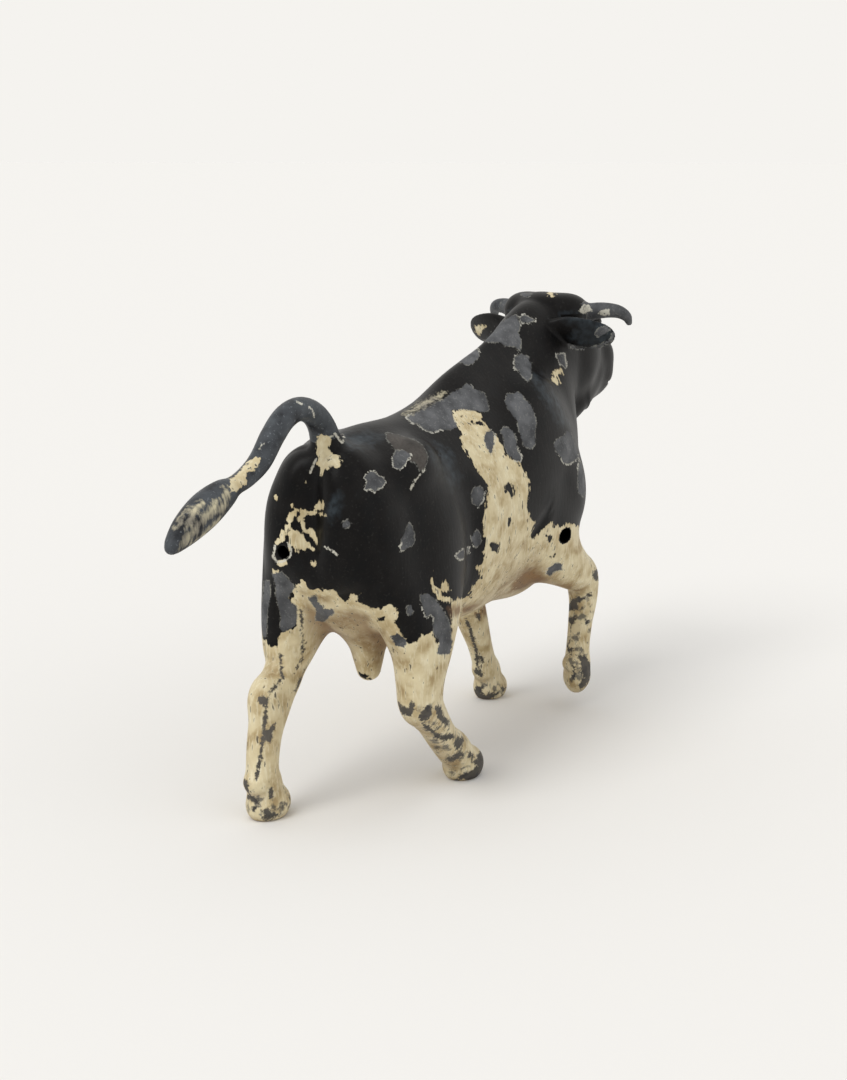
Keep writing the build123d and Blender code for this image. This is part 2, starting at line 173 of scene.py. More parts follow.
tailPath = [
    (-22.4, 0, 43.8, 2.0, 2.0), (-23.8, 0, 47.1, 1.6, 1.6), (-25.8, 0, 49.0, 1.42, 1.42),
    (-28.6, 0, 49.8, 1.36, 1.36), (-31.4, 0, 49.2, 1.36, 1.36), (-33.8, 0, 47.5, 1.34, 1.34),
    (-36.2, 0, 45.2, 1.28, 1.28), (-38.8, 0, 43.9, 1.15, 1.15), (-41.4, 0, 43.2, 1.1, 1.1),
    (-43.6, 0, 42.6, 1.65, 1.55), (-46.4, 0, 41.6, 1.95, 1.8), (-49.2, 0, 40.4, 1.7, 1.6),
    (-51.3, 0, 39.3, 1.15, 1.1), (-52.1, 0, 38.8, 0.75, 0.75),
]
scrotumPath = [
    (-14.6, 0, 24.5, 3.4, 3.0), (-14.3, 0, 21.0, 2.6, 2.5), (-14.0, 0, 18.5, 2.15, 2.0),
    (-13.9, 0, 16.2, 1.5, 1.5),
]
hornPath = [
    (36.6, 4.6, 55.2, 1.35, 1.35), (37.3, 6.4, 55.8, 1.22, 1.22), (38.1, 8.0, 56.0, 1.08, 1.08),
    (39.1, 9.5, 55.8, 0.92, 0.92), (40.1, 10.35, 55.1, 0.72, 0.72), (40.6, 10.6, 54.2, 0.45, 0.45),
]
earPath = [
    (30.0, 3.8, 54.2, 1.2, 0.8), (30.8, 5.4, 54.0, 1.8, 0.75), (31.8, 7.1, 53.4, 2.25, 0.7),
    (32.8, 8.6, 53.0, 2.2, 0.6), (33.5, 9.6, 52.8, 1.75, 0.5), (34.0, 10.1, 52.7, 1.0, 0.35),
]
# How each is rolled: mm round its path that it is worked out in, mm of blend, and balls along it
rolls = {
    "ham": (8, 2.8, 90),
    "limb": (9, 2.4, 90),
    "tail": (4, 1.0, 160),
    "scrotum": (5, 1.6, 90),
    "horn": (3, 0.7, 90),
    "ear": (4, 0.6, 70),
    "cup": (3, 0.25, 50),
    "vent": (2, 0.15, 80),
}
ear = {
    "face": (0.75, -0.45, 0.45),  # the way that the flat of the left ear looks
    "cup": (0.7, 0.6),  # size of its hollow, as shares of the ear's two half sizes
    "cupForward": 0.5,  # mm that the hollow is set in front of the middle
}

# Hooves: middle and half sizes, and below them the sole is cut level
hooves = {
    "hind right": ((-2.4, -7.0, 1.6), (3.1, 2.5, 2.5)),
    "hind left": ((-25.8, 7.0, 1.6), (3.1, 2.5, 2.5)),
    "front left": ((29.0, 5.0, 1.5), (2.9, 2.35, 2.3)),
    "front right": ((30.7, -8.0, 4.4), (1.9, 1.7, 1.8)),
}
hoof = {
    "room": 6,  # mm round its middle that a hoof is worked out in
    "blend": 0.7,
    "fetlock": (1.2, 1.5, 1.3),  # half sizes of the swelling behind it
    "fetlockAt": (0.85, 1.3),  # half sizes of the hoof that the swelling lies back and up
    "cleft": (1.8, 0.22, 1.9),  # half sizes of the cut between the toes
    "cleftDrop": 0.4,
    "cleftBlend": 0.25,
}
# Holes that drained the molten lead: start inside, way out, radius and length
vents = {
    "rump": ((-20.0, 3.4, 32.9), (-1, 0, 0), 0.8, 12),
    "shoulder": ((26.2, -6.1, 27.2), (-0.8, -0.6, 0), 1.0, 10),
}


def smoothCurve(rows, count):
    # Catmull-Rom curve: each stretch is a cubic through its ends, with slopes taken from the neighbours
    v = np.asarray(rows, float)
    t = np.linspace(0, len(v) - 1, count)
    i = np.clip(t.astype(int), 0, len(v) - 2)
    f = (t - i)[:, None]
    p = np.vstack([2 * v[0] - v[1], v, 2 * v[-1] - v[-2]])
    a, b, c, d = p[i], p[i + 1], p[i + 2], p[i + 3]
    return b + 0.5 * f * (c - a + f * (2 * a - 5 * b + 4 * c - d + f * (3 * b - a - 3 * c + d)))


def softUnion(a, b, k):
    # the lower of two distances, rounded off by a parabola where they are within k of each other
    h = np.clip(0.5 + 0.5 * (b - a) / k, 0, 1)
    return b + (a - b) * h - k * h * (1 - h)


def trunkDistance(gx, gy, gz):
    # Each section is an egg of its own height and width. A grid point lies on one section of the fan, and
    # its distance is how far outside that egg it is, over the slope of that measure.
    rows = smoothCurve(list(sections.values()), trunk["stations"])
    top, low, half, crest, keel = rows[:, 0:2], rows[:, 2:4], rows[:, 4], rows[:, 5], rows[:, 6]
    centre = (top + low) / 2
    height = np.linalg.norm(top - low, axis=1) / 2
    up = (top - low) / (2 * height[:, None])
    ahead = np.stack([up[:, 1], -up[:, 0]], 1)
    flat = np.stack(np.meshgrid(gx, gz, indexing="ij"), -1).reshape(-1, 2)
    depth = flat @ ahead.T - (centre * ahead).sum(1)
    passed = (depth > 0).sum(1)
    i = np.clip(passed - 1, 0, len(rows) - 2)
    n = np.arange(len(flat))
    before, after = depth[n, i], depth[n, i + 1]
    span = before - after
    f = np.clip(before / np.where(np.abs(span) < tiny, tiny, span), 0, 1)
    past = [passed == 0, passed == len(rows)]
    beyond = np.select(past, [-before / trunk["rump"], after / trunk["muzzle"]])

    def between(values):
        return values[i] * (1 - f) + values[i + 1] * f

    rise = (flat[:, 0] - between(centre[:, 0])) * between(up[:, 0])
    rise += (flat[:, 1] - between(centre[:, 1])) * between(up[:, 1])
    rise /= between(height)
    s = np.clip(rise, -trunk["rise"], trunk["rise"])
    fuller = []
    for share, (level, circle) in ((crest, trunk["crest"]), (keel, trunk["keel"])):
        fuller.append((between(share) / circle - 1) * (s / level) ** 2)
    width = between(half) * np.clip(1 + np.where(s > 0, *fuller), *trunk["widths"])
    shape = (len(gx), 1, len(gz))
    rise, width, beyond = rise.reshape(shape), width.reshape(shape), beyond.clip(0).reshape(shape)
    egg = np.sqrt((gy[None, :, None] / width) ** 2 + rise**2 + beyond**2).astype(np.float32)
    slope = np.sqrt(sum(g**2 for g in np.gradient(egg, clay["pitch"])))
    return np.clip((egg - 1) / np.maximum(slope, trunk["flattest"]), *trunk["kept"]).astype(np.float32)


def ellipsoid(at, centre, size, turn):
    # how far out of the ellipsoid a point is, over the slope of that measure, turned about y
    c, s = np.cos(np.radians(turn)), np.sin(np.radians(turn))
    x, y, z = (a - b for a, b in zip(at, centre))
    x, z = c * x - s * z, s * x + c * z
    near = np.sqrt((x / size[0]) ** 2 + (y / size[1]) ** 2 + (z / size[2]) ** 2)
    steep = np.sqrt((x / size[0] ** 2) ** 2 + (y / size[1] ** 2) ** 2 + (z / size[2] ** 2) ** 2)
    return (near * (near - 1) / np.maximum(steep, tiny)).astype(np.float32)


squeezeEase = 1.2  # times its flatness is what a flat ball's distance counts for, up to its full worth


def sweptBalls(at, rows, count, flatAlong=(0, 1, 0)):
    # balls along a smooth curve, each squeezed along one direction by its two half sizes
    best = None
    for cx, cy, cz, along, across in smoothCurve(rows, count):
        x, y, z = at[0] - cx, at[1] - cy, at[2] - cz
        side = x * flatAlong[0] + y * flatAlong[1] + z * flatAlong[2]
        squeeze = (along / across) ** 2 - 1
        d = np.sqrt(x * x + y * y + z * z + squeeze * side * side) - along
        d = d * min(1.0, across / along * squeezeEase)
        best = d if best is None else np.minimum(best, d)
    return best.astype(np.float32)


class Clay:
    def __init__(self, pitch, low, high):
        self.pitch = pitch
        self.axes = [np.arange(a, b, pitch) for a, b in zip(low, high)]
        self.low = np.array(low)
        self.distance = trunkDistance(*self.axes)

    def around(self, points, margin):  # the part of the grid within margin of some points, and where it is
        points = np.asarray(points, float)
        cut = []
        for line, low, high in zip(self.axes, points.min(0) - margin, points.max(0) + margin):
            cut.append(slice(max(np.searchsorted(line, low) - 1, 0), np.searchsorted(line, high) + 1))
        lines = (line[part].astype(np.float32) for line, part in zip(self.axes, cut))
        return tuple(cut), np.meshgrid(*lines, indexing="ij", sparse=True)

    def add(self, cut, shape, blend):
        self.distance[cut] = softUnion(self.distance[cut], shape, blend)

    def take(self, cut, shape, blend):
        self.distance[cut] = -softUnion(-self.distance[cut], shape, blend)

    def press(self, form, takeOut=False, mirrored=True):  # an ellipsoid, on both sides if off the middle
        centre, size, turn, blend = form
        for side in (1, -1) if mirrored and centre[1] else (1,):
            place = (centre[0], side * centre[1], centre[2])
            cut, at = self.around([place], max(size) + blend + 1)
            (self.take if takeOut else self.add)(cut, ellipsoid(at, place, size, turn), blend)

    def roll(self, rows, kind, takeOut=False, flatAlong=(0, 1, 0)):
        margin, blend, count = rolls[kind]
        cut, at = self.around([row[:3] for row in rows], margin)
        (self.take if takeOut else self.add)(cut, sweptBalls(at, rows, count, flatAlong), blend)

    def sample(self, points):  # distance at each point: eight grid values round it, weighted by nearness
        u = (points - self.low) / self.pitch
        i = np.clip(u.astype(int), 0, np.array(self.distance.shape) - 2)
        f = u - i
        total = np.zeros(len(points))
        for corner in np.ndindex(2, 2, 2):
            weight = np.where(corner, f, 1 - f).prod(1)
            total += weight * self.distance[tuple((i + corner).T)]
        return total

    def slope(self, points):  # way out of the skin at each point, from differences to either side of it
        steps = np.eye(3) * self.pitch * 0.75
        way = np.stack([self.sample(points + step) - self.sample(points - step) for step in steps], 1)
        return way / np.maximum(np.linalg.norm(way, axis=1), tiny)[:, None]


def modelBull():
    bull = Clay(**clay)
    for form in masses.values():
        bull.press(form)
    for rows in hams.values():
        bull.roll(rows, "ham")
    for form in hollows.values():
        bull.press(form, takeOut=True)
    bull.press(eyeball)
    for form in hocks.values():
        bull.press(form, mirrored=False)
    for rows in limbs.values():
        bull.roll(rows, "limb")
    back, rise = hoof["fetlockAt"]
    for (x, y, z), size in hooves.values():
        # a bulb, with the fetlock swelling behind it and the cleft of the toes cut in front
        fetlock = (x - back * size[0], y, z + rise * size[2])
        cleft = (x + size[0], y, z - hoof["cleftDrop"])
        cut, at = bull.around([(x, y, z)], hoof["room"])
        bull.add(cut, ellipsoid(at, (x, y, z), size, 0), hoof["blend"])
        bull.add(cut, ellipsoid(at, fetlock, hoof["fetlock"], 0), hoof["blend"])
        bull.take(cut, ellipsoid(at, cleft, hoof["cleft"], 0), hoof["cleftBlend"])
    bull.roll(tailPath, "tail")
    bull.roll(scrotumPath, "scrotum")
    for side in (1, -1):
        mirror = np.array([1, side, 1, 1, 1])
        bull.roll(hornPath * mirror, "horn")
        face = np.array(ear["face"]) * mirror[:3]
        bull.roll(earPath * mirror, "ear", flatAlong=face)
        cup = (earPath * mirror * [1, 1, 1, *ear["cup"]])[1:-1]
        cup[:, :3] += ear["cupForward"] * face
        bull.roll(cup, "cup", takeOut=True, flatAlong=face)
    for start, way, radius, length in vents.values():
        end = np.add(start, np.multiply(way, length))
        bull.roll([(*start, radius, radius), (*end, radius, radius)], "vent", takeOut=True)
    floor = -bull.axes[2].astype(np.float32)
    bull.distance = np.maximum(bull.distance, floor)  # feet cut off level
    return bull


def netSkin(bull):
    # Surface nets: each grid cell that the skin passes through gets one point, at the mean of the places
    # where the skin crosses its edges, and each crossed grid edge gets a quad between its four cells.
    inside = bull.distance < 0
    shape = tuple(n - 1 for n in inside.shape)
    total = np.zeros((3, *shape), np.float32)
    count = np.zeros(shape, np.int32)
    crossings = []
    for axis in range(3):
        low, high = [slice(None)] * 3, [slice(None)] * 3
        low[axis], high[axis] = slice(0, -1), slice(1, None)
        near, far = bull.distance[tuple(low)], bull.distance[tuple(high)]
        startsIn = inside[tuple(low)]
        crossed = startsIn != inside[tuple(high)]
        place = np.argwhere(crossed)
        where = place.astype(np.float32)
        where[:, axis] += near[crossed] / (near[crossed] - far[crossed])
        b, c = (axis + 1) % 3, (axis + 2) % 3
        cells = []
        for stepB, stepC in ((1, 1), (0, 1), (0, 0), (1, 0)):
            cell = place.copy()
            cell[:, b] -= stepB
            cell[:, c] -= stepC
            cells.append(cell)
            key = tuple(cell.T)
            for k in range(3):
                np.add.at(total[k], key, where[:, k])
            np.add.at(count, key, 1)
        crossings.append((cells, startsIn[crossed]))
    used = count > 0
    number = np.full(shape, -1)
    number[used] = np.arange(used.sum())
    points = (total[:, used] / count[used]).T * bull.pitch + bull.low
    quads = []
    for cells, startsIn in crossings:
        quad = np.stack([number[tuple(cell.T)] for cell in cells], 1)
        quads.append(np.where(startsIn[:, None], quad, quad[:, ::-1]))
    for _ in range(3):  # settle the points on the skin
        points -= bull.slope(points) * bull.sample(points)[:, None]
    points[:, 2] = np.maximum(points[:, 2], 0)
    return points, np.vstack(quads)


bull = modelBull()
skinPoints, skinQuads = netSkin(bull)
print("bull modelled:", len(skinPoints), "points", skinPoints.min(0).round(2), skinPoints.max(0).round(2))

# Joints between the castings: a point on the joint, the way it faces, and half sizes of the box it is cut in
joints = {
    "neck": ((32.3, 0, 47.4), (0.767, 0, 0.641), (20, 12, 20)),
    "tail": ((-23.4, 0, 46.1), (-0.38, 0, 0.925), (5, 2.6, 3)),
    "hind right": ((-14.6, -8.1, 20.6), (-0.19, -0.08, -0.98), (9, 4.6, 4)),
    "hind left": ((-20.0, 7.2, 20.4), (-0.48, 0.03, -0.88), (9, 4.2, 6)),
    "front left": ((23.2, 5.7, 15.2), (0.41, -0.05, -0.91), (6, 4, 5)),
    "front right": ((29.8, -8.1, 20.0), (0.75, -0.1, -0.65), (5, 4, 5)),
    "left horn": ((37.7, 7.0, 55.8), (0.43, 0.9, 0.1), (2.5, 1.6, 2.5)),
    "right horn": ((37.7, -7.0, 55.8), (0.43, -0.9, 0.1), (2.5, 1.6, 2.5)),
    "left ear": ((30.9, 5.5, 54.0), (0, 1, 0), (3, 2, 3)),
    "right ear": ((30.9, -5.5, 54.0), (0, -1, 0), (3, 2, 3)),
}
midPlane = ((0, 0, 0), (0, 1, 0))  # where the half shells meet
tailFront = -20  # mm along x that the tail lies behind
onCut = 2e-4  # mm from its plane within which an edge belongs to a cut
cutMerge = 1e-5  # mm within which a cut goes through a point that is there


def wayOf(plane):
    return np.array(plane[1]) / np.linalg.norm(plane[1])


def heightOver(points, plane):
    return (np.asarray(points) - plane[0]) @ wayOf(plane)


def faceCentres(mesh):
    mesh.faces.ensure_lookup_table()
    return np.array([face.calc_center_median() for face in mesh.faces])


def cutAt(mesh, chosen, plane):
    # bisects the chosen faces by a plane and parts the mesh along the cut, in the same order every time
    faces = [mesh.faces[k] for k in np.flatnonzero(chosen)]
    parts = list(dict.fromkeys(part for face in faces for part in (*face.verts, *face.edges, face)))
    way = wayOf(plane)
    cut = bmesh.ops.bisect_plane(mesh, geom=parts, dist=cutMerge, plane_co=plane[0], plane_no=way)
    edges = [part for part in cut["geom_cut"] if isinstance(part, bmesh.types.BMEdge)]
    bmesh.ops.split_edges(mesh, edges=edges)


def capAt(mesh, planes):
    # closes each cut with a flat face, and joins the ends of cuts that run into each other
    rim = [edge for edge in mesh.edges if edge.is_boundary]
    spots = np.array([[vert.co for vert in edge.verts] for edge in rim])
    loops = []
    for plane in planes:
        chosen = (np.abs(heightOver(spots, plane)) < onCut).all(1)
        loops.append([rim[k] for k in np.flatnonzero(chosen)])
    ends = [{vert for edge in loop for vert in edge.verts} for loop in loops]
    for first in range(len(loops)):
        for second in range(first):
            shared = sorted(ends[first] & ends[second], key=lambda vert: vert.index)
            if len(shared) == 2:
                bridge = mesh.edges.new(shared)
                loops[first].append(bridge)
                loops[second].append(bridge)
    caps = []
    for loop in filter(None, loops):
        filled = bmesh.ops.triangle_fill(mesh, edges=loop, use_beauty=True)
        caps += [part for part in filled["geom"] if isinstance(part, bmesh.types.BMFace)]
    return caps


def castPieces(points, quads):
    whole = bpy.data.meshes.new("bull")
    whole.from_pydata(points, [], quads)
    mesh = bmesh.new()
    mesh.from_mesh(whole)
    for at, way, box in joints.values():
        inBox = (np.abs(faceCentres(mesh) - at) < box).all(1)
        cutAt(mesh, inBox, (at, way))
    centres = faceCentres(mesh)
    onTail = (heightOver(centres, joints["tail"]) > 0) & (centres[:, 0] < tailFront)
    onTrunk = (heightOver(centres, joints["neck"]) < 0) & ~onTail
    cutAt(mesh, onTrunk, midPlane)
    mesh.to_mesh(whole)
    mesh.free()
    obj = bpy.data.objects.new("bull", whole)
    bpy.context.scene.collection.objects.link(obj)
    bpy.ops.object.select_all(action="DESELECT")
    obj.select_set(True)
    bpy.context.view_layer.objects.active = obj
    bpy.ops.object.mode_set(mode="EDIT")
    bpy.ops.mesh.separate(type="LOOSE")
    bpy.ops.object.mode_set(mode="OBJECT")
    return list(bpy.context.selected_objects)


pieces = castPieces(skinPoints, skinQuads)
print("castings cut apart:", len(pieces))

# Where the photograph was taken from, in mm and degrees, with the size of its picture in pixels
photoView = {
    "size": (847, 1080),
    "focal": 1720,  # pixels
    "distance": 260,
    "heading": 29,  # from +X towards +Y
    "fall": 12.5,  # how far it looks down
    "aim": (35.4, 19.7, 20.5),  # what is in the middle of the picture
    "film": 36,  # mm of film for the height of the picture
    "nearest": 10,  # mm from the lens where the view starts
}


def photoAxes():
    a, e = np.radians(photoView["heading"]), np.radians(photoView["fall"])
    ahead = np.array([np.cos(e) * np.cos(a), np.cos(e) * np.sin(a), -np.sin(e)])
    right = np.array([np.sin(a), -np.cos(a), 0])
    eye = np.array(photoView["aim"]) - photoView["distance"] * ahead
    return eye, ahead, right, np.cross(right, ahead)


def toPhoto(points):
    # pixel of each point, and how far ahead of the camera it is
    eye, ahead, right, up = photoAxes()
    ray = points - eye
    depth = ray @ ahead
    across = photoView["focal"] * np.stack([ray @ right, -(ray @ up)], 1) / depth[:, None]
    return across + np.array(photoView["size"]) / 2, depth


# The paint is drawn as outlines in pixels of the photograph, in layers that the coats further down follow.
# The left side, which the photograph doesn't show, has the same outlines mirrored.
outlines = {
    "cream": {
        "legs, belly and band behind the shoulder": [
            (0, 645), (260, 637), (266, 641), (269, 646), (277, 647), (280, 632), (290, 629), (296, 626),
            (297, 616), (296, 606), (290, 602), (288, 598), (294, 596), (293, 591), (296, 585), (302, 581),
            (310, 587), (312, 591), (318, 589), (329, 590), (335, 591), (342, 598), (346, 601), (352, 595),
            (360, 594), (357, 601), (365, 606), (373, 609), (382, 608), (392, 604), (397, 609), (398, 618),
            (394, 622), (399, 629), (406, 638), (408, 643), (417, 641), (421, 634), (431, 632), (436, 642),
            (452, 642), (451, 599), (470, 597), (472, 586), (477, 581), (482, 579), (479, 571), (477, 567),
            (483, 563), (484, 553), (486, 545), (483, 528), (484, 512), (489, 495), (488, 486), (483, 478),
            (475, 467), (470, 457), (463, 446), (461, 434), (457, 425), (452, 415), (451, 410), (467, 409),
            (483, 412), (482, 419), (488, 426), (495, 436), (501, 444), (506, 455), (519, 462), (524, 471),
            (529, 479), (529, 490), (527, 503), (530, 517), (534, 521), (532, 531), (531, 539), (538, 535),
            (546, 527), (551, 521), (553, 526), (562, 526), (568, 523), (576, 526), (582, 528), (847, 528),
            (847, 1080), (0, 1080),
        ],
        "fold of the flank": [
            (433, 570), (431, 580), (432, 589), (437, 597), (446, 602), (451, 599), (442, 595), (439, 589),
            (434, 584),
        ],
        "dab on the flank": [(444, 581), (448, 584), (450, 590), (447, 595), (442, 591), (440, 586)],
        "under the tail": [
            (317, 437), (322, 435), (329, 437), (331, 442), (329, 448), (332, 452), (337, 456), (341, 460),
            (340, 466), (335, 467), (332, 466), (327, 470), (324, 467), (322, 475), (318, 477), (319, 470),
            (317, 465), (318, 458), (316, 453), (318, 447), (316, 442),
        ],
        "rump speck": [(274, 495), (279, 496), (277, 501)],
        "upper dab": [(303, 481), (307, 479), (308, 484), (304, 484)],
        "dab beside the seam": [(316, 506), (320, 500), (324, 505), (324, 510), (320, 511), (316, 509)],
        "streak beside the seam": [
            (307, 511), (312, 510), (318, 511), (325, 514), (325, 517), (316, 515), (308, 515),
        ],
        "left streak": [(296, 510), (303, 509), (308, 512), (306, 515), (300, 514)],
        "left dab": [(289, 505), (291, 502), (294, 504), (292, 508)],
        "brush mark": [(285, 519), (288, 514), (293, 512), (296, 514), (294, 519), (291, 523), (286, 522)],
        "long brush mark": [
            (298, 516), (303, 515), (304, 519), (302, 522), (304, 524), (306, 528), (313, 530), (316, 534),
            (318, 543), (316, 545), (314, 538), (309, 534), (303, 530), (300, 525),
        ],
        "smear over the vent": [
            (281, 532), (284, 526), (289, 524), (290, 528), (286, 534), (286, 539), (282, 543), (277, 545),
            (274, 543), (278, 538),
        ],
        "fan of the brush": [
            (289, 534), (293, 529), (298, 530), (302, 535), (304, 538), (309, 543), (314, 549), (312, 551),
            (307, 548), (305, 552), (301, 548), (299, 552), (296, 548), (294, 551), (292, 547), (290, 552),
            (287, 549), (288, 543),
        ],
        "under the vent": [(277, 562), (286, 560), (288, 563), (281, 566), (276, 565)],
        "speck under the vent": [(274, 569), (278, 570), (277, 574), (274, 573)],
        "speck by the thigh": [(309, 558), (312, 560), (316, 565), (313, 566), (310, 562)],
        "neck mark": [
            (552, 374), (556, 369), (562, 370), (562, 374), (559, 374), (558, 378), (561, 384), (558, 385),
            (553, 381),
        ],
        "poll": [(546, 293), (550, 290), (556, 293), (552, 296), (548, 295)],
        "left ear": [(473, 327), (478, 324), (487, 327), (482, 330), (481, 334), (475, 332)],
        "tail": [
            (237, 473), (251, 459), (261, 459), (260, 466), (253, 471), (247, 473), (246, 484), (236, 491),
            (231, 492), (230, 479),
        ],
    },
    "black": {
        "back of the left thigh": [
            (269, 574), (273, 574), (276, 591), (278, 606), (281, 611), (279, 629), (277, 646), (272, 637),
            (268, 645), (266, 638), (267, 616), (270, 597),
        ],
        "blotch on the band": [
            (503, 488), (508, 481), (512, 486), (514, 493), (512, 498), (509, 493), (505, 492),
        ],
        "low on the band": [(491, 543), (500, 543), (497, 553), (492, 550)],
        "streak on the band": [(508, 519), (511, 517), (512, 522), (509, 526)],
        "elbow mark": [(549, 556), (556, 554), (556, 558), (550, 559)],
        "crack by the vent": [(546, 535), (551, 536), (552, 541), (549, 542)],
        "streak high on the band": [(471, 421), (481, 422), (484, 425), (473, 424)],
        "thigh streak": [(377, 620), (384, 617), (383, 620), (378, 622)],
        "scrotum": [(359, 673), (369, 675), (370, 679), (363, 678)],
    },
    "bare": {
        "tip of the right ear": [(595, 334), (599, 328), (607, 326), (610, 330), (604, 334), (599, 337)],
        "right horn": [(581, 304), (590, 299), (636, 303), (637, 329), (606, 322), (597, 319), (588, 314)],
        "withers": [
            (407, 417), (428, 407), (446, 398), (453, 392), (461, 389), (466, 384), (471, 385), (473, 389),
            (484, 393), (487, 401), (489, 410), (483, 412), (464, 409), (451, 410), (453, 417), (457, 427),
            (450, 430), (440, 429), (433, 432), (424, 429), (419, 424), (412, 422),
        ],
        "shoulder": [
            (505, 402), (507, 394), (512, 394), (517, 392), (522, 395), (524, 399), (530, 404), (534, 413),
            (536, 423), (535, 434), (535, 444), (531, 449), (524, 446), (522, 439), (519, 430), (517, 420),
            (510, 412), (507, 406),
        ],
        "middle of the shoulder": [
            (501, 431), (504, 427), (509, 428), (513, 432), (516, 440), (517, 450), (521, 457), (520, 461),
            (515, 460), (508, 454), (505, 447), (504, 439),
        ],
        "edge of the band": [
            (484, 439), (486, 432), (491, 430), (494, 434), (494, 443), (492, 450), (492, 455), (489, 451),
            (486, 446),
        ],
        "arm": [
            (554, 444), (557, 439), (564, 436), (567, 431), (572, 433), (576, 441), (579, 447), (578, 457),
            (575, 460), (568, 464), (564, 463), (561, 457), (556, 451),
        ],
        "front of the arm": [
            (581, 453), (586, 465), (586, 483), (584, 497), (578, 492), (578, 479), (579, 465),
        ],
        "neck": [
            (515, 357), (522, 354), (528, 357), (531, 363), (531, 377), (528, 381), (523, 377), (519, 370),
            (515, 368),
        ],
        "crest": [
            (485, 342), (489, 336), (495, 328), (501, 323), (511, 316), (516, 315), (520, 324), (519, 330),
            (517, 332), (520, 337), (521, 342), (520, 350), (516, 347), (511, 346), (505, 346), (501, 342),
            (494, 342),
        ],
        "nape": [(520, 318), (524, 315), (535, 320), (528, 323), (522, 322)],
        "left of the crest": [
            (460, 362), (465, 354), (471, 349), (477, 349), (479, 353), (478, 358), (473, 363), (467, 365),
        ],
        "throat": [(557, 355), (564, 354), (566, 368), (560, 363)],
        "poll": [(521, 294), (527, 291), (532, 293), (529, 296), (524, 297)],
        "hip": [
            (393, 457), (396, 451), (402, 450), (409, 453), (411, 456), (407, 459), (405, 464), (400, 469),
            (394, 467),
        ],
        "star on the thigh": [
            (365, 477), (369, 472), (374, 472), (378, 476), (383, 478), (385, 482), (382, 487), (378, 488),
            (375, 492), (371, 488), (365, 490), (366, 485), (368, 482),
        ],
        "drop on the thigh": [
            (409, 523), (412, 527), (414, 533), (414, 541), (411, 546), (407, 548), (401, 551), (401, 547),
            (403, 544), (401, 539), (405, 532),
        ],
        "flank": [(471, 495), (474, 488), (480, 486), (484, 491), (483, 499), (478, 507), (473, 503)],
        "low flank": [(471, 537), (477, 530), (480, 534), (481, 542), (477, 547), (473, 544)],
        "ring on the flank": [
            (456, 556), (460, 552), (466, 548), (469, 548), (468, 552), (464, 558), (460, 559),
        ],
        "left thigh": [
            (272, 574), (282, 572), (287, 578), (292, 583), (294, 588), (288, 597), (290, 602), (296, 606),
            (297, 616), (296, 626), (290, 629), (283, 632), (280, 629), (281, 616), (278, 604), (276, 594),
            (275, 583),
        ],
        "edge of the left thigh": [
            (265, 580), (270, 582), (270, 597), (267, 614), (266, 636), (261, 637), (258, 628), (260, 616),
            (262, 604),
        ],
        "inside the left thigh": [
            (308, 598), (316, 595), (318, 602), (324, 609), (333, 609), (334, 613), (329, 617), (324, 622),
            (316, 621), (315, 616), (317, 611), (313, 605),
        ],
        "front of the right thigh": [
            (420, 595), (428, 594), (434, 598), (438, 604), (444, 612), (449, 622), (452, 648), (449, 654),
            (438, 654), (437, 650), (440, 644), (438, 639), (434, 633), (433, 626), (435, 618), (431, 614),
            (426, 617), (424, 611),
        ],
        "right thigh": [(407, 606), (411, 605), (413, 611), (410, 616), (407, 613)],
        "inside the right thigh": [(391, 637), (397, 633), (403, 637), (407, 642), (404, 647), (396, 646)],
        "elbow": [(547, 570), (555, 563), (562, 564), (562, 570), (555, 571), (550, 576), (547, 574)],
        "rump dab": [(342, 523), (347, 520), (351, 523), (348, 528), (343, 527)],
    },
    "tarnish": {
        "left hock": [(258, 697), (265, 695), (269, 700), (266, 709), (258, 703)],
        "left cannon": [
            (265, 731), (271, 726), (276, 723), (274, 731), (272, 740), (270, 746), (267, 741), (263, 741),
        ],
        "left fetlock": [
            (243, 778), (249, 785), (248, 793), (257, 799), (259, 803), (251, 802), (246, 798), (243, 788),
        ],
        "left toe": [
            (260, 810), (268, 808), (273, 812), (280, 814), (273, 819), (265, 821), (261, 818), (265, 814),
        ],
        "left pastern": [(269, 789), (273, 787), (273, 797), (269, 799)],
        "left heel": [(253, 806), (257, 807), (256, 812), (253, 811)],
        "right hock": [
            (396, 699), (402, 706), (408, 707), (411, 701), (415, 704), (413, 713), (412, 717), (405, 715),
            (399, 712),
        ],
        "over the right cannon": [
            (418, 718), (422, 711), (427, 705), (433, 708), (432, 715), (427, 720), (422, 722),
        ],
        "front of the right cannon": [
            (435, 705), (441, 708), (443, 715), (449, 720), (448, 727), (441, 722), (436, 717),
        ],
        "right cannon": [
            (421, 723), (429, 725), (436, 732), (444, 735), (450, 732), (453, 738), (446, 741), (437, 739),
            (430, 732), (424, 728),
        ],
        "low on the right cannon": [(453, 744), (459, 736), (464, 738), (463, 745), (457, 751)],
        "right fetlock": [(444, 760), (454, 756), (460, 751), (464, 754), (457, 760), (449, 763)],
        "right toe": [
            (471, 763), (477, 758), (480, 750), (485, 754), (488, 766), (486, 774), (475, 779), (455, 781),
            (460, 775), (470, 772), (477, 766),
        ],
        "right coronet": [(467, 751), (472, 753), (473, 757), (469, 757)],
        "left forearm": [(476, 614), (480, 614), (481, 621), (478, 622)],
        "left fore cannon": [(480, 656), (484, 657), (485, 664), (482, 664)],
        "left fore fetlock": [(474, 670), (477, 666), (481, 671), (486, 674), (482, 678), (476, 675)],
        "left fore hoof": [
            (472, 690), (477, 686), (483, 687), (481, 692), (486, 694), (494, 692), (500, 693), (494, 698),
            (482, 700), (475, 698),
        ],
        "left fore toe": [(501, 688), (506, 688), (504, 692)],
